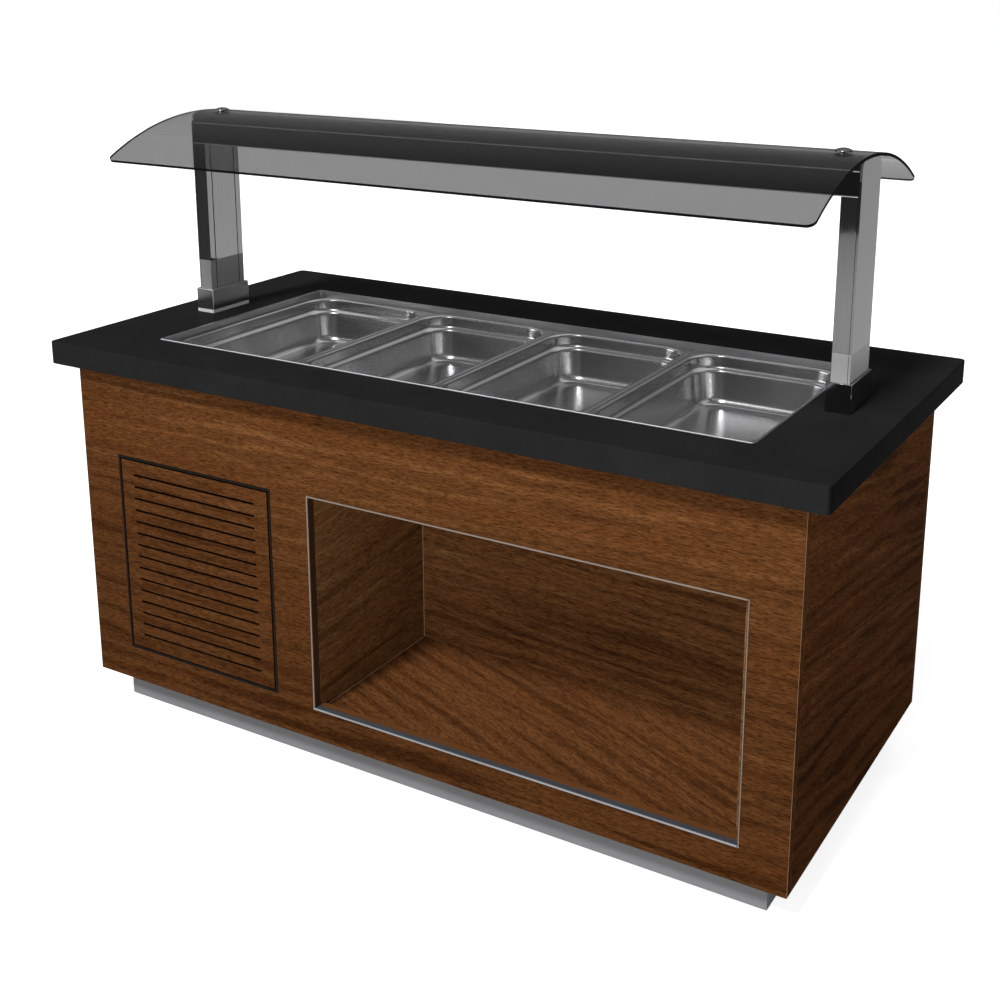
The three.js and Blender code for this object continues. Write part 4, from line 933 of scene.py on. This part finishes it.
def dress_cabinet():
    edge = laminate_edge()
    boards = {
        "front_panel": walnut("walnut_front", RIGHTWARD, FORWARD),
        # Painted shade: the right panel is tinted a little darker.
        "right_panel": walnut("walnut_right", BACKWARD, RIGHTWARD, -9.0, 3.1, (0.95, 0.94, 0.95), 1.45),
        "left_panel": walnut("walnut_left", BACKWARD, LEFTWARD, 7.0, 5.3),
        "back_panel": walnut("walnut_back", RIGHTWARD, BACKWARD, 0.0, 7.9),
    }
    for name, finish in boards.items():
        dress(name, finish, smooth=False, chamfer=PANEL_CHAMFER, edge=edge)
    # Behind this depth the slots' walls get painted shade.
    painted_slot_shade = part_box("vent_door")[0].y + SLOT_SHADE_DEPTH
    dress("vent_door", walnut("walnut_slotted", RIGHTWARD, FORWARD, black_behind=painted_slot_shade), smooth=False)

    # Painted light: the niche's boards are tinted much lighter, making up for the shade inside the niche.
    upright = walnut("walnut_niche_side", BACKWARD, RIGHTWARD, 4.0, 1.7, (2.25, 2.8, 3.2))
    flat = walnut("walnut_niche_floor", RIGHTWARD, UPWARD, -22.0, 2.3, (1.8, 1.85, 1.95), 0.85)
    rear = walnut("walnut_niche_back", RIGHTWARD, FORWARD, -4.0, 9.4, (2.0, 2.25, 2.5))
    lining = {
        "niche_left_side": upright,
        "niche_right_side": upright,
        "niche_floor": flat,
        "niche_top": flat,
        "niche_back": rear,
    }
    for name, finish in lining.items():
        dress(name, finish, smooth=False, chamfer=LINING_CHAMFER, edge=finish)
    dress("cabinet_floor", painted("melamine_brown", (0.07, 0.035, 0.016), 0.5), smooth=False)
    dress("niche_trim", edging(), smooth=False)
    dress("vent_frame", painted("dark_bronze", (0.0115, 0.0095, 0.0080), 0.5, 0.02))
    plinth = painted("plinth_grey", (0.20, 0.20, 0.205), 0.6, 0.1)
    dress("plinth_skirt", plinth, smooth=False, chamfer=0.8 * MM)


def dress_top():
    dress("worktop", granite())
    steel = brushed("stainless_brushed", (0.55, 0.55, 0.553), 0.30)
    dress("well_tank", steel)
    dress("drain_pipe", steel)
    for i in (1, 2, 3):
        bar = brushed(f"stainless_bar_{i}", (0.42, 0.42, 0.425), 0.28, BACKWARD)
        dress(f"cross_bar_{i}", bar, smooth=False)
    dress("well_insulation", foam())


def dress_chassis():
    zinc = speckled_metal("zinc", (0.50, 0.51, 0.52), 0.42)
    dress("chassis_frame", zinc, smooth=False, chamfer=1.2 * MM)
    rubber = moulded("castor_rubber", (0.022, 0.022, 0.024), 0.7)
    for corner in ("front_left", "front_right", "back_left", "back_right"):
        dress(f"castor_plate_{corner}", zinc)
        dress(f"castor_fork_{corner}", zinc)
        dress(f"castor_wheel_{corner}", rubber)


def dress_guard():
    # Painted reflection: dark lines on the posts' corner chamfers.
    corner = brushed("post_corner_painted_reflection", (0.09, 0.09, 0.091), 0.2, UPWARD)
    # Painted reflection: the left post is tinted lighter than the right, and their foot bands differ too.
    for side, tint, foot in (("left", 0.41, 0.22), ("right", 0.265, 0.42)):
        steel = polished(f"polished_post_{side}", (tint, tint, tint * 1.005), foot, POST_FOOT_REFLECTION_TOP[side])
        for part in ("post", "post_strip", "side_plate"):
            dress(f"{part}_{side}", steel, chamfer=POST_CHAMFER, edge=corner)
    plain = brushed("polished_collar", (0.36, 0.36, 0.363), 0.07, UPWARD)
    dress("post_collar_right", plain, chamfer=0.8 * MM)
    # Painted highlight: a light band round the foot of the left collar.
    banded = polished("banded_collar", (0.38, 0.38, 0.382), 0.60, COLLAR_HIGHLIGHT_TOP, 0.2)
    # Painted highlight: light chamfers round the left collar's edges.
    collar_edge_highlight = satin("collar_edge_highlight", (0.62, 0.62, 0.623), 0.3, 0.3)
    dress("post_collar_left", banded, chamfer=0.7 * MM, edge=collar_edge_highlight)
    dress("lamp_beam", painted("beam_black", (0.009, 0.009, 0.0094), 0.5, 0.01, 0.02 * MM))
    opal = moulded("opal_diffuser", (0.80, 0.80, 0.78), 0.4, 300.0, 0.02 * MM)
    dress("lamp_diffuser", opal, smooth=False, chamfer=1.0 * MM)


def dress_machinery():
    dress("unit_tray", painted("unit_black", (0.02, 0.02, 0.021), 0.5), smooth=False, chamfer=0.8 * MM)
    dress("condenser_coil", speckled_metal("coil_aluminium", (0.55, 0.55, 0.56), 0.4))
    dress("fan_shroud", speckled_metal("shroud_zinc", (0.45, 0.46, 0.47), 0.45))
    dress("fan_motor", painted("motor_black", (0.018, 0.018, 0.018), 0.4))
    dress("fan_blades", moulded("fan_plastic", (0.030, 0.030, 0.032), 0.45))
    dress("compressor", painted("compressor_black", (0.012, 0.012, 0.012), 0.28, 0.5))
    box = moulded("control_grey", (0.30, 0.31, 0.32), 0.55)
    dress("control_box", box, smooth=False, chamfer=1.5 * MM)
    knob = moulded("control_black", (0.02, 0.02, 0.022), 0.35)
    dress("thermostat_dial", knob)
    dress("power_rocker", knob, chamfer=0.4 * MM)


def make_pieces():
    make_pans(brushed("pressed_steel", (0.50, 0.50, 0.503), 0.20, RIGHTWARD, 0.03, 0.05, 420.0, 0.03))
    make_glass(smoked_glass(), glass_edge())
    make_knobs(brushed("knob_chrome", (0.13, 0.13, 0.132), 0.12))
    # Painted highlights: the beam's bright lines and the well's lip.
    make_beam_strips(satin("painted_highlight_trim", (0.55, 0.55, 0.56), 0.4, 0.2))
    make_well_lip(satin("lip_painted_highlight", (0.80, 0.80, 0.805), 0.35, 0.2))
    make_sealant(moulded("sealant", (0.40, 0.27, 0.18), 0.5))


# ---------- Studio ----------

AMBIENT = 0.24
FLOOR_WHITE = 0.62
FLOOR_LIFT = 0.80
FLOOR_LIFT_IN_GLASS = 0.45
FLOOR_SPAN = 24
FLOOR_FRONT_EDGE = 5.0  # from the middle of the bar to the floor's nearest edge
FLOOR_TURN = math.radians(42.9)
# Glossy surroundings by height: pale below, dark flags round the horizon and a soft ceiling.
GLOSSY_SKY = [(0.0, 0.10), (0.46, 0.06), (0.5, 0.04), (0.60, 0.11), (0.70, 0.18), (0.84, 0.62), (1.0, 1.0)]
# Soft boxes that polished steel shows: towards, cosine at the rim, cosine where full, strength.
SOFT_BOXES = [
    ((-1.2, -5.65, 6.9), 0.955, 0.975, 5.0),
    ((-0.84, -0.49, 0.24), 0.93, 0.97, 2.2),
]
KEY_PLACE = (-0.6, -5.65, 6.9)
KEY_POWER = 2.75
KEY_SPREAD = math.radians(9)
LAMP_TARGET = Vector((0, 0, 0.5))
# Soft lamps: place, size and power.
SOFT_LAMPS = {
    "fill": ((1.6, -5.0, 1.7), (2.0, 1.6), 85),
    "back": ((-2.2, 5.0, 2.0), (2.4, 1.8), 70),
}


def make_world():
    """White to the camera and through glass, graded surroundings for polished metal, and a dim even light."""
    world = bpy.data.worlds.new("studio")
    world.use_nodes = True
    bpy.context.scene.world = world
    g = Graph(world.node_tree)
    path = g.node("ShaderNodeLightPath").outputs
    direction = g.node("ShaderNodeTexCoord").outputs["Generated"]
    surround = g.ramp(g.rescaled(g.axis(direction, "Z"), -1.0, 1.0), GLOSSY_SKY)
    for toward, rim, full, strength in SOFT_BOXES:
        pair = {0: direction, 1: Vector(toward).normalized()}
        facing = g.node("ShaderNodeVectorMath", pair, operation="DOT_PRODUCT").outputs["Value"]
        surround = g.mix(1.0, surround, g.rescaled(facing, rim, full, strength), "ADD")
    even = g.background(grey(1.0), AMBIENT)
    lit = g.mix_shaders(path["Is Glossy Ray"], even, g.background(surround, 1.0))
    seen = g.math("MAXIMUM", path["Is Camera Ray"], path["Is Transmission Ray"])
    sky = g.mix_shaders(seen, lit, g.background(grey(1.0), 1.0))
    g.node("ShaderNodeOutputWorld", {"Surface": sky})


def make_floor():
    """A pale sheet whose nearest edge crosses in front of the guests' left side."""
    away = FLOOR_SPAN / 2 - FLOOR_FRONT_EDGE
    place = (away * math.cos(FLOOR_TURN), away * math.sin(FLOOR_TURN), 0)
    bpy.ops.mesh.primitive_plane_add(size=FLOOR_SPAN, location=place, rotation=(0, 0, FLOOR_TURN))
    floor = bpy.context.object
    floor.name = "studio_floor"
    made, g = empty_material("studio_floor")
    matt = g.node("ShaderNodeBsdfDiffuse", {"Color": grey(FLOOR_WHITE)}).outputs["BSDF"]
    path = g.node("ShaderNodeLightPath").outputs
    in_glass = g.math("MULTIPLY", path["Is Transmission Ray"], FLOOR_LIFT_IN_GLASS)
    seen = g.math("MULTIPLY_ADD", path["Is Camera Ray"], FLOOR_LIFT, in_glass)
    lift = g.node("ShaderNodeEmission", {"Strength": seen}).outputs["Emission"]
    g.surface(g.node("ShaderNodeAddShader", {0: matt, 1: lift}).outputs["Shader"])
    floor.data.materials.append(made)


def make_key_light():
    """A lamp far away, so that the floor is lit evenly."""
    data = bpy.data.lights.new("key", "SUN")
    data.energy = KEY_POWER
    data.angle = KEY_SPREAD
    light = bpy.data.objects.new("key", data)
    light.rotation_euler = Vector(KEY_PLACE).to_track_quat("Z", "Y").to_euler()
    light.location = KEY_PLACE
    bpy.context.scene.collection.objects.link(light)


def make_soft_lamp(name, place, size, power):
    """A soft lamp that lights without showing in polished metal or glass."""
    data = bpy.data.lights.new(name, "AREA")
    data.shape = "RECTANGLE"
    data.size, data.size_y = size
    data.energy = power
    light = bpy.data.objects.new(name, data)
    direction = LAMP_TARGET - Vector(place)
    light.rotation_euler = direction.to_track_quat("-Z", "Y").to_euler()
    light.location = place
    light.visible_glossy = False
    light.visible_transmission = False
    bpy.context.scene.collection.objects.link(light)


def make_studio():
    make_world()
    make_floor()
    make_key_light()
    for name, (place, size, power) in SOFT_LAMPS.items():
        make_soft_lamp(name, place, size, power)
    bpy.context.scene.view_settings.view_transform = "Standard"


make_camera()
make_studio()
dress_cabinet()
dress_top()
dress_chassis()
dress_guard()
dress_machinery()
make_pieces()
